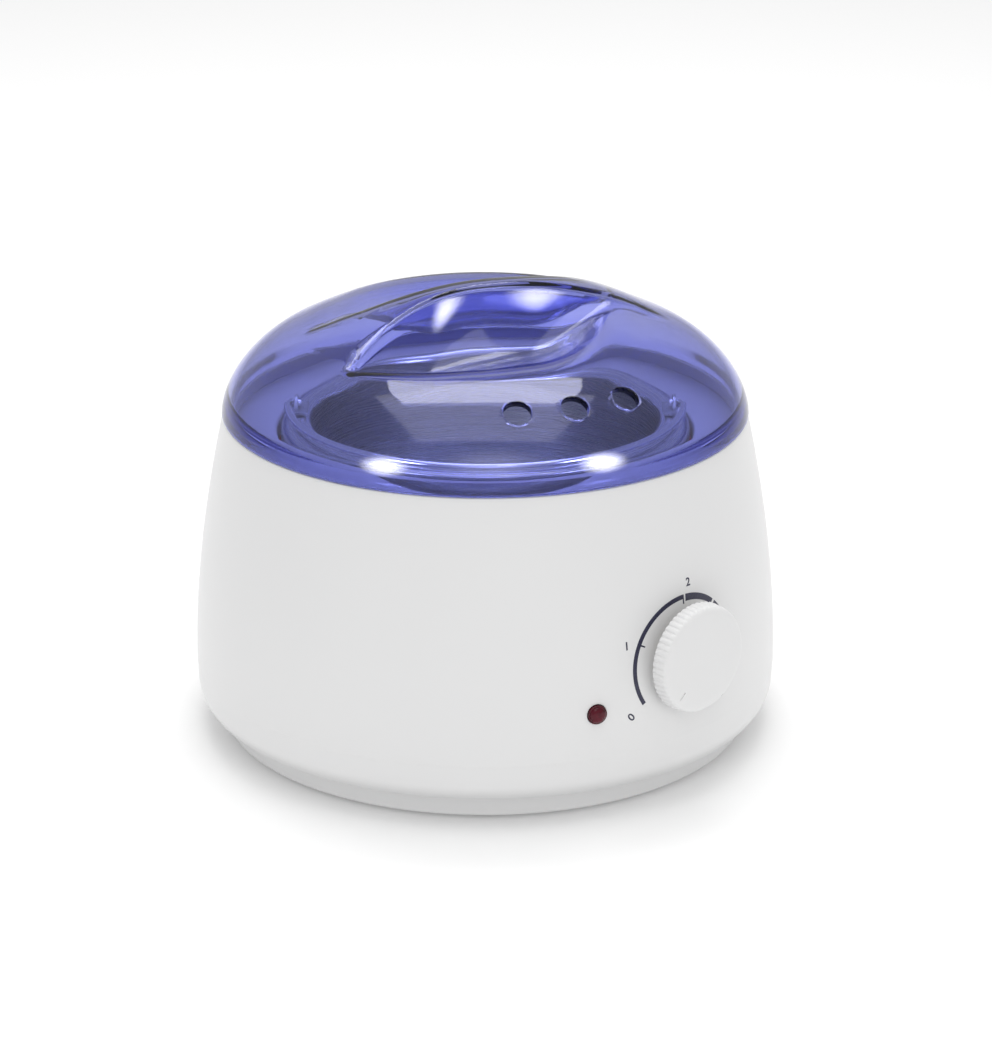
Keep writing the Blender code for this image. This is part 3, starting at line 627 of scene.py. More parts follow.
def make_housing():
    """The white shell: tapered wall, tucked lower edge, rim land, stepped deck and its bosses."""
    heights = [RIM_Z - 0.0016 - (RIM_Z - 0.0238) * (k / 34) for k in range(35)]
    outside = [(body_radius(z), z) for z in heights]
    below = CREASE_Z - CREASE_DROP
    for z in (CREASE_Z, below, 0.0190, 0.0175, 0.0160, 0.0148, 0.0137, 0.0128, 0.0120):
        step = CREASE_STEP * smoothstep(CREASE_Z, below, z) * smoothstep(0.0120, 0.0175, z)
        outside.append((body_radius(z) - step, z))
    inside = [(body_radius(z) - WALL, z) for z in (0.086, 0.070, 0.054, 0.038, 0.0235, 0.018, 0.0155)]
    deck_low, flange_z, tuck_z = 0.095, SEAM_Z + 0.0020, SEAM_Z + 0.0016
    top = [(DECK_RADIUS, RIM_Z, 0.0003), (RIM_RADIUS, RIM_Z, 0.0006)]
    bottom = [
        (body_radius(tuck_z), tuck_z), (0.0896, SEAM_Z, 0.0013), (0.0827, SEAM_Z, 0.0002),
        (0.0827, flange_z), (0.0862, flange_z, 0.0012),
    ]
    under = [
        (0.0810, deck_low, 0.0010), (0.0679, deck_low, 0.0008), (0.0679, COLLAR_LOW, 0.0003),
        (COLLAR_RADIUS, COLLAR_LOW, 0.0003),
    ]
    deck = [(COLLAR_RADIUS, DECK_Z, 0.0009), (0.0800, 0.0986, 0.0003), (DECK_RADIUS, 0.0992, 0.0002)]
    profile = rounded(top + outside + bottom + inside[::-1] + under + deck)
    shell = turned("housing_shell", SHELL_WHITE_PAINTED_SHADE, profile, 192)
    cuts, joins = [], []
    for azimuth in QUARTERS:
        low_boss = ring_place(azimuth, BASE_SCREW_RING)
        high_boss = ring_place(azimuth + 45, WELL_SCREW_RING)
        joins.append(put(rod("boss", 0.0042, 0.0068, 0.026), low_boss))
        rib = block("rib", (-0.0012, -0.0125, 0.012), (0.0012, 0, 0.0259))
        turn = Matrix.Rotation(math.radians(azimuth), 4, "Z")
        joins.append(put(rib, turn @ Matrix.Translation((0, -0.0775, 0))))
        cuts.append(put(rod("pilot", SCREW_HOLE_RADIUS, 0.0050, 0.020, 24), low_boss))
        joins.append(put(rod("boss", 0.0034, COLLAR_LOW, 0.0960, 24), high_boss))
        cuts.append(put(rod("pilot", SCREW_HOLE_RADIUS, 0.0900, 0.0958, 24), high_boss))
    for azimuth, height, radius in (
        (DIAL_AZIMUTH, DIAL_Z, 0.0050), (LAMP_AZIMUTH, LAMP_Z, 0.0032), (GLAND_AZIMUTH, GLAND_Z, 0.0060),
    ):
        cuts.append(put(rod("hole", radius, 0.080, 0.100), radial_frame(azimuth, height)))
    carve(shell, cuts, joins)
    fit(smooth(shell), "housing", "body_shell")


def make_base():
    """The base plate with its lip, vent slots, screw recesses and rubber feet."""
    radius, low, top = PLATE_HIGH.x, PLATE_LOW.z, SEAM_Z - GAP
    floor, lip, lip_outside, lip_inside = 0.0040, SEAM_Z + 0.0016, 0.0824, 0.0806
    profile = rounded([
        (0, low), (radius, low, 0.0009), (radius, top, 0.0011), (lip_outside, top),
        (lip_outside, lip, 0.0003), (lip_inside, lip, 0.0003), (lip_inside, floor, 0.0008), (0, floor),
    ])
    plate = turned("base_tray", WHITE, profile, 192)
    cuts, joins = [], []
    for azimuth in QUARTERS:
        at = ring_place(azimuth, BASE_SCREW_RING)
        joins.append(put(rod("pad", 0.0055, 0.0020, 0.0065), at))
        cuts.append(put(rod("sink", 0.0034, 0.0005, 0.0037), at))
        cuts.append(put(rod("hole", SCREW_HOLE_RADIUS, 0.0005, 0.0090, 24), at))
        recess = rod("recess", FOOT_RADIUS + GAP, 0.0005, 0.0025)
        cuts.append(put(recess, ring_place(azimuth + 45, FOOT_RING)))
    for azimuth in range(0, 360, 45):
        slot = block("slot", (-0.0015, -0.052, 0.0005), (0.0015, -0.030, 0.0060))
        cuts.append(put(slot, Matrix.Rotation(math.radians(azimuth), 4, "Z")))
    carve(plate, cuts, joins)
    fit(smooth(plate), "housing", "base_plate")
    foot_high = 0.0022
    profile = rounded([(0, 0), (FOOT_RADIUS, 0, 0.0009), (FOOT_RADIUS, foot_high, 0.0002), (0, foot_high)])
    for azimuth, side in zip(QUARTERS, ("front_right", "rear_right", "rear_left", "front_left")):
        foot = turned(f"rubber_foot_{side}", RUBBER, profile, 64)
        put(foot, ring_place(azimuth + 45, FOOT_RING))
        fit(smooth(foot), "housing", f"foot_{side}")


def make_well():
    """The heated aluminium well under the deck and its silicone seal."""
    inside = [
        (0, 0.0197), (0.0470, 0.0197, 0.006), (0.0536, 0.0216, 0.005), (0.0554, 0.0270, 0.012),
        (0.0570, 0.0904, 0.0006), (0.0576, 0.0912, 0.0005),
    ]
    outside = [
        (0.073, 0.0912, 0.0003), (0.073, 0.0899, 0.0003), (0.0592, 0.0899, 0.0006),
        (0.0583, 0.0889, 0.0010), (0.0567, 0.0268, 0.010), (0.0546, 0.0206, 0.005),
        (0.0473, 0.0184, 0.006), (0, 0.0184),
    ]
    well = turned("well_liner", ALUMINIUM, rounded(inside + outside))
    cuts = []
    for azimuth in QUARTERS:
        hole = rod("hole", SCREW_HOLE_RADIUS, 0.089, 0.092, 24)
        cuts.append(put(hole, ring_place(azimuth + 45, WELL_SCREW_RING)))
    fit(smooth(carve(well, cuts)), "housing", "heating_well")
    near, far, low, high = 0.0605, 0.0650, COLLAR_LOW, 0.0931
    profile = [(near, low, 0.0004), (far, low, 0.0004), (far, high, 0.0006), (near, high, 0.0006)]
    seal = turned("well_seal", SILICONE, rounded(profile))
    fit(smooth(seal), "housing", "well_gasket")


# ---- pot


def make_pot():
    """The lift-out pot: drawn wall, round bottom corner and a rolled shoulder."""
    shoulder = flowing([
        (0.0642, 0.0972), (0.0634, 0.0994), (0.0613, 0.1012), (0.0586, 0.1022), (0.0564, 0.1022),
        (0.0549, 0.1011), (0.0543, 0.0993),
    ])
    inside = [(0.0525, 0.0285, 0.020), (0.0505, 0.0238, 0.006), (0.0460, 0.0220, 0.006), (0, 0.0220)]
    outside = [(0, 0.0205), (0.0463, 0.0205, 0.006), (0.0516, 0.0224, 0.006), (0.0540, 0.0275, 0.020)]
    under = flowing([
        (0.0558, 0.0985), (0.0566, 0.1003), (0.0583, 0.1006), (0.0604, 0.0998), (0.0621, 0.0984),
        (0.0627, 0.0968),
    ])
    skirt_z = 0.0934
    edge = [(0.0627, skirt_z, 0.0004), (0.0642, skirt_z, 0.0004)]
    pot = turned("wax_can", ALUMINIUM, rounded(outside + under + edge + shoulder + inside), 192)
    fit(smooth(pot), "pot", "wax_pot")


def make_ears():
    """Two pressed steel ears with rounded tops, each on a spot-welded foot."""
    half, low, high = 0.0045, 0.1026, 0.1075
    upright = Matrix(((0, 0, 1, 0), (1, 0, 0, 0), (0, 1, 0, 0), (0, 0, 0, 1)))
    for side, way in (("left", -1), ("right", 1)):
        curve = bpy.data.curves.new("ear", "CURVE")
        curve.dimensions = "2D"
        curve.fill_mode = "BOTH"
        curve.extrude = 0.00038
        curve.bevel_depth = 0.00012
        curve.bevel_resolution = 2
        inset = curve.bevel_depth  # the bevel grows the outline by this much
        flat, hole = half - inset, BAIL_WIRE + GAP + inset
        top = arc(flat, flat, 180, 0, 18, (0, high - half))
        outline = [(-flat, low + inset), *top, (flat, low + inset)]
        eye = arc(hole, hole, 0, 360, 24, (0, PIVOT_Z))[:-1]
        for points in (outline, eye):
            add_line(curve, points, closed=True)
        place = Matrix.Translation((way * 0.0590, 0, 0)) @ upright
        ear = flat_piece(f"bail_ear_{side}", STEEL, curve, lambda point: place @ point)
        near, far = sorted((way * 0.0555, way * 0.0592))
        carve(ear, joins=[block("foot", (near, -0.0060, low), (far, 0.0060, 0.1034))])
        fit(smooth(ear, weighted=False), "pot", f"pot_ear_{side}")


def make_bail():
    """The sprung wire half hoop that lies on the front of the shoulder."""
    hoop = arc(0.0616, 0.0602, 180, 360, 72)[1:-1]
    plan = [(-0.0575, 0), (-0.0606, 0), *hoop, (0.0606, 0), (0.0575, 0)]
    curve = bpy.data.curves.new("bail_wire", "CURVE")
    curve.dimensions = "3D"
    curve.bevel_depth = BAIL_WIRE
    curve.bevel_resolution = 6
    curve.use_fill_caps = True
    curve.materials.append(WIRE)
    add_line(curve, [(*place, PIVOT_Z) for place in plan])
    fit(add_object("bail_wire", curve), "bail", "pot_bail")


# ---- lid


def scoop_crest(x):
    """Front edge of the grip in plan: a leaning curve from the front left to the right."""
    bend_left, bend_right, span = 0.024, 0.045, 0.068
    left = np.clip(bend_left - x, 0, None) / span
    right = np.clip(x - bend_right, 0, None)
    return -0.0005 - 0.0475 * left**2.7 + 0.010 * smoothstep(0, bend_right, x) - 12 * right**2


def scoop_lip(x):
    """Outer edge of the front scoop in plan."""
    return -SCOOP_LIP_SHARE * np.sqrt(np.clip(SCOOP_LIP_RADIUS**2 - x * x, 0, None))


def scoop_foot(x):
    """How far across the scoop its deepest line runs, as a share of the way from lip to crest."""
    return 0.64 + 5 * np.clip(x, 0, 0.050)


def scoop_depth(x, y):
    """How far the front finger scoop sinks below the dome. The rear one is its half turn."""
    lip, crest, foot = scoop_lip(x), scoop_crest(x), scoop_foot(x)
    span = np.maximum(crest - lip, 1e-6)
    along = (y - lip) / span
    depth = SCOOP_DEPTH * smoothstep(-0.047, -0.012, x) * (1 - 0.92 * smoothstep(0.014, 0.046, x))
    depth = depth * (1 - smoothstep(0.048, 0.058, x))
    fall = 0.5 - 0.5 * np.cos(np.pi * np.clip(along / foot, 0, 1))
    climb = 1 - np.clip((along - foot) / (1 - foot), 0, 1) ** 2
    inside = (along > 0) & (along < 1) & (crest > lip)
    return np.where(inside, depth * np.where(along < foot, fall, climb), 0.0)


def dome_height(radius):
    """The bare dome over the lid's edge: a flat cap that turns into a steep flank."""
    share = np.clip(radius / LID_RADIUS, 0, 1)
    flank = LID_FLANK_HEIGHT * (1 - share**3.6) ** (1 / 1.62)
    cap = LID_CROWN - LID_CAP_CURVE * radius**2
    mix = smoothstep(*LID_BLEND, radius)
    return cap * (1 - mix) + flank * mix


def lid_height(x, y):
    """The dome with both finger scoops taken out."""
    return dome_height(np.hypot(x, y)) - scoop_depth(x, y) - scoop_depth(-x, -y)


def disc(radius, rings, spokes):
    """Places spread over a disc."""
    places = [(0.0, 0.0)]
    for ring in range(1, rings + 1):
        far = radius * math.sin(math.pi / 2 * ring / rings)
        for spoke in range(spokes):
            turn = 2 * math.pi * (spoke + 0.5 * (ring % 2)) / spokes
            places.append((far * math.cos(turn), far * math.sin(turn)))
    return places


def outer_height(x, y):
    """The lid's top with its creases rounded over, as a mould leaves them."""
    places = disc(CREASE_RADIUS, 3, 9)
    return sum(lid_height(x + dx, y + dy) for dx, dy in places) / len(places)


def shifted(heights, across, up):
    return np.roll(heights, (across, up), (0, 1))


def underside_map(spacing=0.00025, reach=0.0750):
    """Heights one wall's thickness in from the top, over a square grid, as a function of the place."""
    count = round(reach / spacing)
    axis = np.arange(-count, count + 1) * spacing
    top = outer_height(*np.meshgrid(axis, axis, indexing="ij"))
    cells_in_wall = int(LID_WALL / spacing)
    under = top - LID_WALL
    for across in range(-cells_in_wall, cells_in_wall + 1):
        for up in range(-cells_in_wall, cells_in_wall + 1):
            left = LID_WALL**2 - (across**2 + up**2) * spacing**2
            if left >= 0:
                under = np.minimum(under, shifted(top, across, up) - math.sqrt(left))
    near = [(across, up) for across in range(-3, 4) for up in range(-3, 4) if across**2 + up**2 <= 10]
    under = sum(shifted(under, *step) for step in near) / len(near)

    def height_at(x, y):
        column, row = (np.asarray(x) + axis[-1]) / spacing, (np.asarray(y) + axis[-1]) / spacing
        i, j = np.floor(column).astype(int), np.floor(row).astype(int)
        s, t = column - i, row - j
        low = under[i, j] * (1 - t) + under[i, j + 1] * t
        high = under[i + 1, j] * (1 - t) + under[i + 1, j + 1] * t
        return low * (1 - s) + high * s

    return height_at


def even_stops(height_of, x, start, end, count):
    """Places from start to end, packed closer where the height bends."""
    y = np.linspace(start, end, 241)
    z = height_of(np.full_like(y, x), y)
    turn = np.arctan2(np.diff(z), np.diff(y))
    travel = np.hypot(np.diff(z), np.diff(y))
    bend = np.abs(np.diff(turn, prepend=turn[0])) + np.abs(np.diff(turn, append=turn[-1]))
    weight = travel / ROW_LENGTH + bend / math.radians(12)
    weight = np.convolve(np.pad(weight, 4, "edge"), np.ones(9) / 9, "valid")
    whole = np.concatenate([[0], np.cumsum(weight)])
    return np.interp(np.linspace(0, whole[-1], count + 1), whole, y)


def lid_columns(height_of, half):
    """Plan places inside the scoops' circle, in columns across the lid whose rows follow the grip."""
    columns = []
    for index in range(1, half):
        x = -SCOOP_LIP_RADIUS * math.cos(math.pi * index / half)
        edge = -math.sqrt(SCOOP_LIP_RADIUS**2 - x * x)
        front, rear = (min(max(float(scoop_crest(at)), 0.8 * edge), -0.1 * edge) for at in (x, -x))
        rows = list(even_stops(height_of, x, edge, front, 38))
        rows += list(even_stops(height_of, x, front, -rear, 8))[1:-1]
        rows += list(even_stops(height_of, x, -rear, -edge, 38))
        columns.append([(x, y) for y in rows])
    return np.array(columns)


def lid_flank(offset, start_radius, end_height, count):
    """(radius, height) down the dome's flank, at this offset inside its outer surface."""
    angle = np.linspace(0.5, math.pi / 2, 1600)
    radius = LID_RADIUS * np.sin(angle)
    height = dome_height(radius)
    along_r, along_z = np.gradient(radius), np.gradient(height)
    length = np.hypot(along_r, along_z)
    radius = radius + offset * along_z / length
    height = height - offset * along_r / length
    keep = (radius >= start_radius) & (height >= end_height)
    radius, height = radius[keep], height[keep]
    travel = np.concatenate([[0], np.cumsum(np.hypot(np.diff(radius), np.diff(height)))])
    stops = travel[-1] * np.linspace(0, 1, count + 1) ** 1.35
    return list(zip(np.interp(stops, travel, radius), np.interp(stops, travel, height)))


def make_lid():
    """The clear lid as one closed skin: dome and scoops, lower edge, plug skirt and underside."""
    half, flank_rows = 120, 34
    around = 2 * half
    turns = math.pi + 2 * math.pi * np.arange(around) / around
    cosines, sines = np.cos(turns), np.sin(turns)
    verts, faces = [], []

    def skin(height_of, rings):
        """Adds the scoop zone and rings round it, and returns the last ring."""
        base = len(verts)
        plan = lid_columns(height_of, half)
        heights = height_of(plan[:, :, 0], plan[:, :, 1])
        count, rows = plan.shape[:2]
        verts.extend(zip(*plan.reshape(-1, 2).T, heights.ravel() + LID_EDGE_Z))
        ends = []
        for x in (-SCOOP_LIP_RADIUS, SCOOP_LIP_RADIUS):
            ends.append(len(verts))
            verts.append((x, 0, float(height_of(np.array(x), np.array(0.0))) + LID_EDGE_Z))

        def at(column, row):
            return base + column * rows + row

        for column in range(count - 1):
            for row in range(rows - 1):
                faces.append((
                    at(column, row), at(column + 1, row), at(column + 1, row + 1), at(column, row + 1),
                ))
        for row in range(rows - 1):
            faces.append((ends[0], at(0, row), at(0, row + 1)))
            faces.append((ends[1], at(count - 1, row + 1), at(count - 1, row)))
        inner = [ends[0]] + [at(column, 0) for column in range(count)] + [ends[1]]
        inner += [at(column, rows - 1) for column in reversed(range(count))]
        for radius, height in rings[1:]:
            x, y = radius * cosines, radius * sines
            z = height_of(x, y) if radius < LID_BLEND[1] else np.full(around, height)
            inner = next_ring(inner, x, y, z + LID_EDGE_Z)
        return inner

    def join_rings(first, second):
        for index in range(around):
            after = (index + 1) % around
            faces.append((first[index], second[index], second[after], first[after]))

    def next_ring(last, x, y, z):
        """Adds a ring of points, joins it to the last one and returns it."""
        ring = range(len(verts), len(verts) + around)
        verts.extend(zip(x, y, z))
        join_rings(last, ring)
        return ring

    outside = lid_flank(0.0, SCOOP_LIP_RADIUS, 0.0006, flank_rows)
    underside = lid_flank(LID_WALL, SCOOP_LIP_RADIUS, 0.0052, flank_rows)
    last = skin(outer_height, outside)
    plug_inside = PLUG_RADIUS - 0.0018
    edge = rounded([
        (outside[-1][0], LID_EDGE_Z + outside[-1][1]), (LID_RADIUS, LID_EDGE_Z, 0.0005),
        (PLUG_RADIUS, LID_EDGE_Z, 0.0002), (PLUG_RADIUS, LID_LOW.z, 0.0005),
        (plug_inside, LID_LOW.z, 0.0005), (plug_inside, 0.1066, 0.0008),
        (underside[-1][0], LID_EDGE_Z + underside[-1][1]),
    ])
    for radius, z in edge[1:-1]:
        last = next_ring(last, radius * cosines, radius * sines, np.full(around, z))
    join_rings(last, skin(underside_map(), underside))
    lid = object_from("lid_dome", verts, faces, BLUE)

    step = flare = 0.0005
    slope = float(dome_height(VENT_RING + step) - dome_height(VENT_RING - step)) / (2 * step)
    profile = [
        (0, -0.006), (VENT_RADIUS, -0.006), (VENT_RADIUS, -LID_WALL + 0.0002), (VENT_RADIUS, -flare),
        (VENT_RADIUS + flare, 0.0), (VENT_RADIUS + 0.004, 0.004), (0, 0.004),
    ]
    cuts = []
    for azimuth in VENT_AZIMUTHS:
        out = outward(azimuth)
        at = ring_place(azimuth, VENT_RING, LID_EDGE_Z + float(dome_height(VENT_RING)))
        normal = (Vector((0, 0, 1)) - out * slope).normalized()
        tilt = normal.to_track_quat("Z", "Y").to_matrix().to_4x4()
        cuts.append(put(turned("vent", None, profile, 64), at @ tilt))
    carve(lid, cuts)
    fit(smooth(lid, 50, weighted=False), "lid_body", "lid")


# ---- dial, lamp, inlet


def make_knob():
    """The dial's cap: fine grip ribs, a chamfer and a faintly crowned face."""
    wall = body_radius(DIAL_Z)
    back = wall + KNOB_STANDOFF
    face = back + KNOB_HEIGHT
    bore, hub = SHAFT_RADIUS + GAP, 0.0055
    hub_end, roof = wall + 0.0042, face - 0.0022
    side = [
        (KNOB_RADIUS - 0.0003, back), (KNOB_RADIUS, back + 0.0003),
        (KNOB_RADIUS - 0.0001, back + 0.0016), (KNOB_RADIUS - 0.0002, back + 0.0030),
        (KNOB_RADIUS - 0.0004, face - 0.0012),
        (KNOB_RADIUS - 0.0007, face - 0.0008), (KNOB_RADIUS - 0.0011, face - 0.0005),
    ]
    ribbed_rows = len(side)
    crown = [
        (KNOB_RADIUS - 0.0016, face - 0.00028), (KNOB_RADIUS - 0.0024, face - 0.00012),
        (KNOB_RADIUS - 0.0036, face - 0.00004), (0.0105, face), (0.0070, face), (0.0040, face - 0.00001),
        (0.0026, face - 0.00004), (0.0014, face - 0.00010), (0, face - 0.00012),
    ]
    hollow = rounded([
        (0, wall + SHAFT_END + GAP), (bore, wall + SHAFT_END + GAP), (bore, hub_end, 0.0003),
        (hub, hub_end, 0.0003), (hub, roof, 0.0004), (KNOB_RADIUS - 0.0028, roof, 0.0006),
        (KNOB_RADIUS - 0.0020, back, 0.0002),
    ] + side[:1])[:-1]
    profile = hollow + side + crown
    first = len(hollow)

    def reach(row, radius, turn):
        if not first <= row < first + ribbed_rows:
            return radius
        fade = 1 - smoothstep(3.4, ribbed_rows - 0.5, row - first)
        groove = (0.5 - 0.5 * math.cos(KNOB_RIBS * turn)) ** 3
        return radius - KNOB_RIB_DEPTH * fade * groove

    knob = turned("dial_cap", WHITE, profile, 8 * KNOB_RIBS, reach)
    groove = block("groove", (-0.0004, -0.0144, face - 0.0003), (0.0004, -0.0115, face + 0.001))
    carve(knob, [put(groove, Matrix.Rotation(math.radians(-45), 4, "Z"))])
    put(knob, radial_frame(DIAL_AZIMUTH, DIAL_Z))
    fit(smooth(knob, 45), "dial", "control_knob")


def make_lamp():
    """The red pilot lens with a stepped dome."""
    wall = body_radius(LAMP_Z)
    rim, stem, bore, ledge = 0.0030, 0.0029, 0.0021, wall + 0.0007
    back, roof = wall - 0.0110, wall - 0.0020
    profile = rounded([
        (0, wall + 0.0019), *arc(0.0026, 0.0012, 80, 0, 8, (0, ledge)), (rim, ledge, 0.0001),
        (rim, wall + 0.0003, 0.0001), (stem, wall + 0.0003),
        (stem, back), (bore, back), (bore, roof), (0, roof),
    ])
    lens = turned("pilot_lens", RED_LENS, profile, 64)
    put(lens, radial_frame(LAMP_AZIMUTH, LAMP_Z))
    fit(smooth(lens, 50), "housing", "indicator_lens")


def make_gland():
    """The rubber gland in the rear wall, open where the cord would enter."""
    wall = body_radius(GLAND_Z)
    bore = 0.0034
    profile = rounded([
        (bore, wall + 0.0024, 0.0005), (0.0064, wall + 0.0024, 0.0007), (0.0078, wall + 0.0008, 0.0002),
        (0.0057, wall + 0.0008), (0.0057, wall - 0.0055), (0.0068, wall - 0.0065, 0.0003),
        (0.0060, wall - 0.0100, 0.0004), (bore, wall - 0.0100, 0.0003),
    ])
    gland = turned("inlet_gland", RUBBER, profile, 72)
    put(gland, radial_frame(GLAND_AZIMUTH, GLAND_Z))
    fit(smooth(gland), "housing", "cord_gland")


# ---- print on the housing


def on_wall(across, up, proud):
    """A point on the housing, from its place on the dial's scale."""
    z = SCALE_Z + up
    far = math.sqrt((body_radius(z) + proud) ** 2 - across**2)
    return radial_frame(SCALE_AZIMUTH, 0) @ Vector((across, z, far))


def printed(name, grid):
    """A thin skin of ink over a grid of places on the scale."""
    verts, faces = [], []
    rows, columns = len(grid), len(grid[0])
    for proud in (INK_HEIGHT, -INK_HEIGHT):
        for row in grid:
            verts += [on_wall(across, up, proud) for across, up in row]
    under = rows * columns

    def quad(a, b):
        faces.append((a, b, b + under, a + under))

    for row in range(rows - 1):
        for column in range(columns - 1):
            a = row * columns + column
            face = (a, a + 1, a + columns + 1, a + columns)
            faces.append(face)
            faces.append([corner + under for corner in face])
    for column in range(columns - 1):
        quad(column, column + 1)
        quad((rows - 1) * columns + column + 1, (rows - 1) * columns + column)
    for row in range(rows - 1):
        quad((row + 1) * columns, row * columns)
        quad(row * columns + columns - 1, (row + 1) * columns + columns - 1)
    obj = object_from(name, verts, faces, INK)
    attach(obj, "housing")


def polar(radius, degrees):
    """A place on the scale, from its distance and its direction."""
    turn = math.radians(degrees)
    return radius * math.cos(turn), radius * math.sin(turn)


def make_scale():
    """The dial's printed scale: a swelling arc in three lengths, two ticks, an end dot and numerals."""
    outer = SCALE_RADIUS + SCALE_EDGE
    for name, start, end, first, last in (  # first and last are the arc's widths at its ends
        ("scale_arc_low", 211, 89.2, 0.0013, 0.0014),
        ("scale_arc_mid", 86.8, 49.5, 0.0022, 0.0017),
        ("scale_arc_high", 46.5, 29.0, 0.0014, 0.0002),
    ):
        count = max(4, int(abs(start - end) / 2))
        grid = []
        for step in range(count + 1):
            share = step / count
            width = first + (last - first) * share
            angle = start + (end - start) * share
            grid.append([polar(outer, angle), polar(outer - width, angle)])
        printed(name, grid)
    half_tick = math.degrees(0.00025 / SCALE_RADIUS)
    tick_radii = [SCALE_RADIUS + 0.0005 - 0.0028 * step / 4 for step in range(5)]
    for name, angle in (("scale_tick_left", 154), ("scale_tick_top", 89.6)):
        grid = [[polar(radius, angle + side) for radius in tick_radii] for side in (-half_tick, half_tick)]
        printed(name, grid)
    middle = polar(0.0226, -45.5)
    rim = arc(0.0007, 0.0007, 0, 360, 16)
    grid = [
        [(middle[0] + across * share, middle[1] + up * share) for share in (0.02, 1)] for across, up in rim
    ]
    printed("scale_end_dot", grid)
    make_numeral("0", polar(0.0252, 212.4), 40)
    make_numeral("1", polar(0.0236, 157.6), 0)
    make_numeral("2", polar(0.0236, 83.5), 0)


def make_numeral(text, middle, lean):
    """One numeral of the scale, turned by lean in degrees and bent onto the wall."""
    name = f"scale_numeral_{text}"
    curve = bpy.data.curves.new(name, "FONT")
    curve.body = text
    curve.size = 0.0036
    curve.align_x = curve.align_y = "CENTER"
    curve.offset = 0.00006
    curve.extrude = INK_HEIGHT
    turn = Matrix.Rotation(math.radians(lean), 3, "Z")

    def bent(point):
        at = turn @ point
        return on_wall(middle[0] + at.x, middle[1] + at.y, point.z)

    obj = flat_piece(name, INK, curve, bent)
    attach(obj, "housing")


# ---- CAD nodes that stay


def dress_nodes():
    """Gives every CAD node that still shows its finish."""
    looks = {
        STEEL: ["heater_strap", "strap_nut", "strap_screw", "fuse_clip", "thermostat_frame", "lens_clip",
                "thermostat_shaft", "earth_stud"],
        BRASS: ["thermostat_bush", "thermostat_nut", "bimetal_strip", "contact_spring",
                "heater_terminal_live", "heater_terminal_neutral", "earth_tag"],
        MICA: ["heater_band"],
        CERAMIC: ["thermal_fuse", "thermostat_stack"],
        NYLON: ["terminal_block"],
        LAMP_GLASS: ["neon_lamp"],
        BROWN: ["fuse_lead", "thermostat_lead", "heater_lead_live", "lamp_lead_live"],
        BLUE_WIRE: ["heater_lead_neutral", "lamp_lead_neutral"],
        GREEN: ["earth_lead"],
    }
    for index in range(1, 5):
        looks[STEEL] += [f"base_screw_{index}", f"well_screw_{index}"]
    for index in range(1, 4):
        looks[BRASS].append(f"terminal_screw_{index}")
    for material, names in looks.items():
        for name in names:
            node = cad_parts[name]
            if not node.material_slots:
                node.data.materials.append(material)
            for slot in node.material_slots:
                slot.material = material


# ---- stage


def aim(obj, azimuth, elevation, distance):
    """Places a lamp or a camera round the object and turns it towards the object."""
    rise = math.radians(elevation)
    away = outward(azimuth) * math.cos(rise) + Vector((0, 0, math.sin(rise)))
    obj.location = VIEW_TARGET + away * distance
    obj.rotation_euler = away.to_track_quat("Z", "Y").to_euler()
    return obj


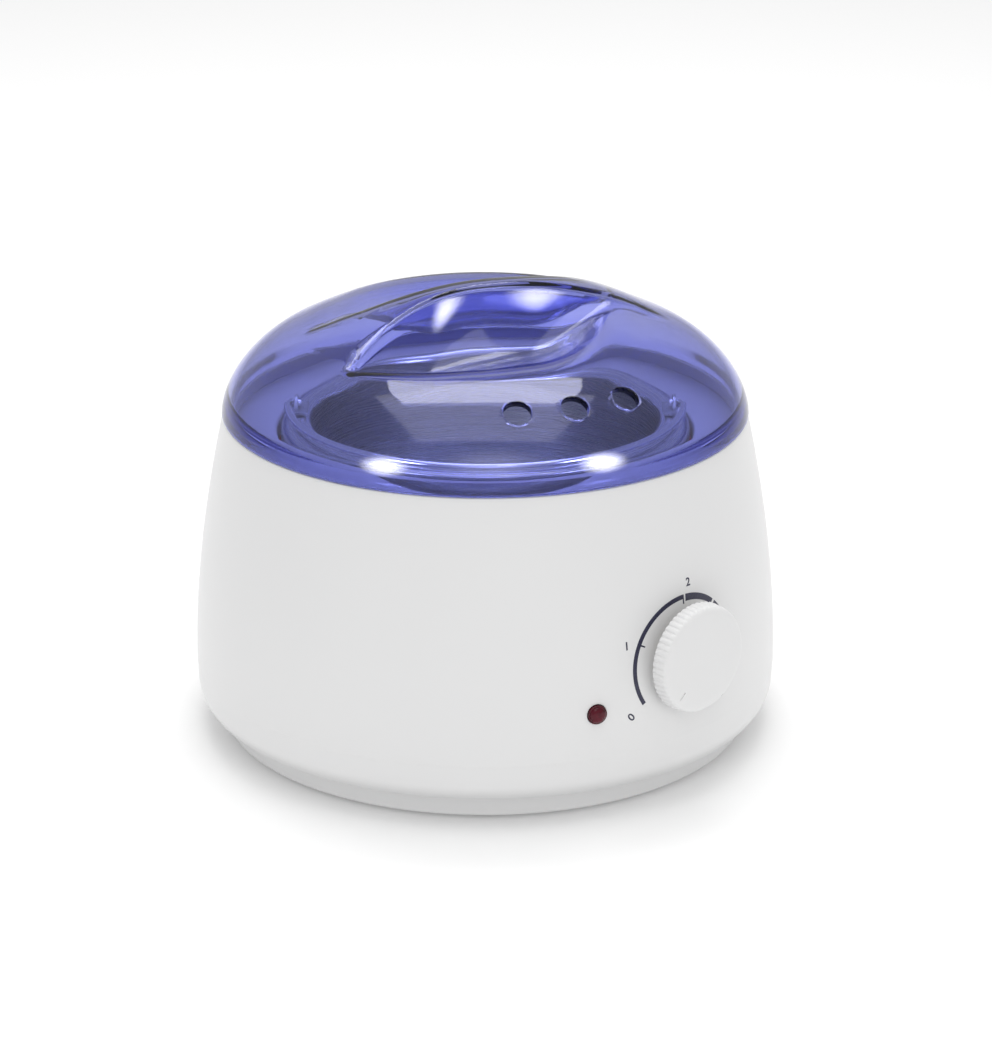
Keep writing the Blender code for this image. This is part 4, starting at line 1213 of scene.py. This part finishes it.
def area_light(name, azimuth, elevation, distance, size, power, soft=False):
    """A soft box that faces the object. A soft one fades out towards its rim."""
    data = bpy.data.lights.new(name, "AREA")
    data.shape = "ELLIPSE" if soft else "RECTANGLE"
    data.size, data.size_y = size
    data.energy = power
    if soft:
        data.use_nodes = True
        place = add_node(data, "ShaderNodeNewGeometry")
        middle = add_node(data, "ShaderNodeVectorMath", operation="DISTANCE")
        middle.inputs[1].default_value = (0.5, 0.5, 0)
        link(data, place.outputs["Parametric"], middle.inputs[0])
        fade = ranged(data, middle.outputs["Value"], (0.5, 0.0), interpolation_type="SMOOTHSTEP")
        link(data, fade, data.node_tree.nodes["Emission"].inputs["Strength"])
    return aim(add_object(name, data), azimuth, elevation, distance)


def lid_group():
    """What the small lamps pick out: the lid alone."""
    group = bpy.data.collections.new("sparkling")
    group.objects.link(bpy.data.objects["lid_dome"])
    return group


def make_stage():
    """A pale floor, a white room and soft boxes."""
    floor = look(
        "pale_floor", (0.92, 0.92, 0.92), 0.9,
        Specular_IOR_Level=0.0, Emission_Color=(1, 1, 1, 1), Emission_Strength=0.10,
    )
    bpy.ops.mesh.primitive_plane_add(size=12, location=(0, 0, 0))
    plane = bpy.context.object
    plane.name = "floor"
    plane.data.materials.append(floor)

    world = bpy.data.worlds.new("white_room")
    bpy.context.scene.world = world
    world.use_nodes = True
    background = world.node_tree.nodes["Background"]
    background.inputs["Color"].default_value = (1, 1, 1, 1)
    background.inputs["Strength"].default_value = 0.60

    area_light("key_box", 4, 40, 1.60, (1.40, 1.20), 9.0, soft=True)
    area_light("overhead_box", 0, 88, 1.50, (1.30, 1.30), 8.0)
    area_light("top_box", 180, 70, 1.35, (0.85, 0.38), 5.0)
    picked = lid_group()
    for name, azimuth, power in (("left_spark", -45, 26.0), ("right_spark", 53, 29.0)):
        spark = area_light(name, azimuth, 27, 1.25, (0.52, 0.62), power, soft=True)
        spark.light_linking.receiver_collection = picked
    scene = bpy.context.scene
    scene.view_settings.view_transform = "Standard"
    scene.view_settings.look = "None"
    scene.cycles.max_bounces = scene.cycles.transmission_bounces = 24
    scene.cycles.glossy_bounces = 16
    scene.cycles.transparent_max_bounces = 32


def make_camera():
    data = bpy.data.cameras.new("camera")
    data.lens = VIEW_LENS
    data.shift_x, data.shift_y = VIEW_SHIFT
    data.clip_start, data.clip_end = 0.01, 50
    bpy.context.scene.camera = aim(add_object("camera", data), 0, VIEW_ELEVATION, VIEW_DISTANCE)


make_camera()
make_housing()
make_base()
make_well()
make_pot()
make_ears()
make_bail()
make_lid()
make_knob()
make_lamp()
make_gland()
make_scale()
dress_nodes()
make_stage()

bpy.context.view_layer.update()
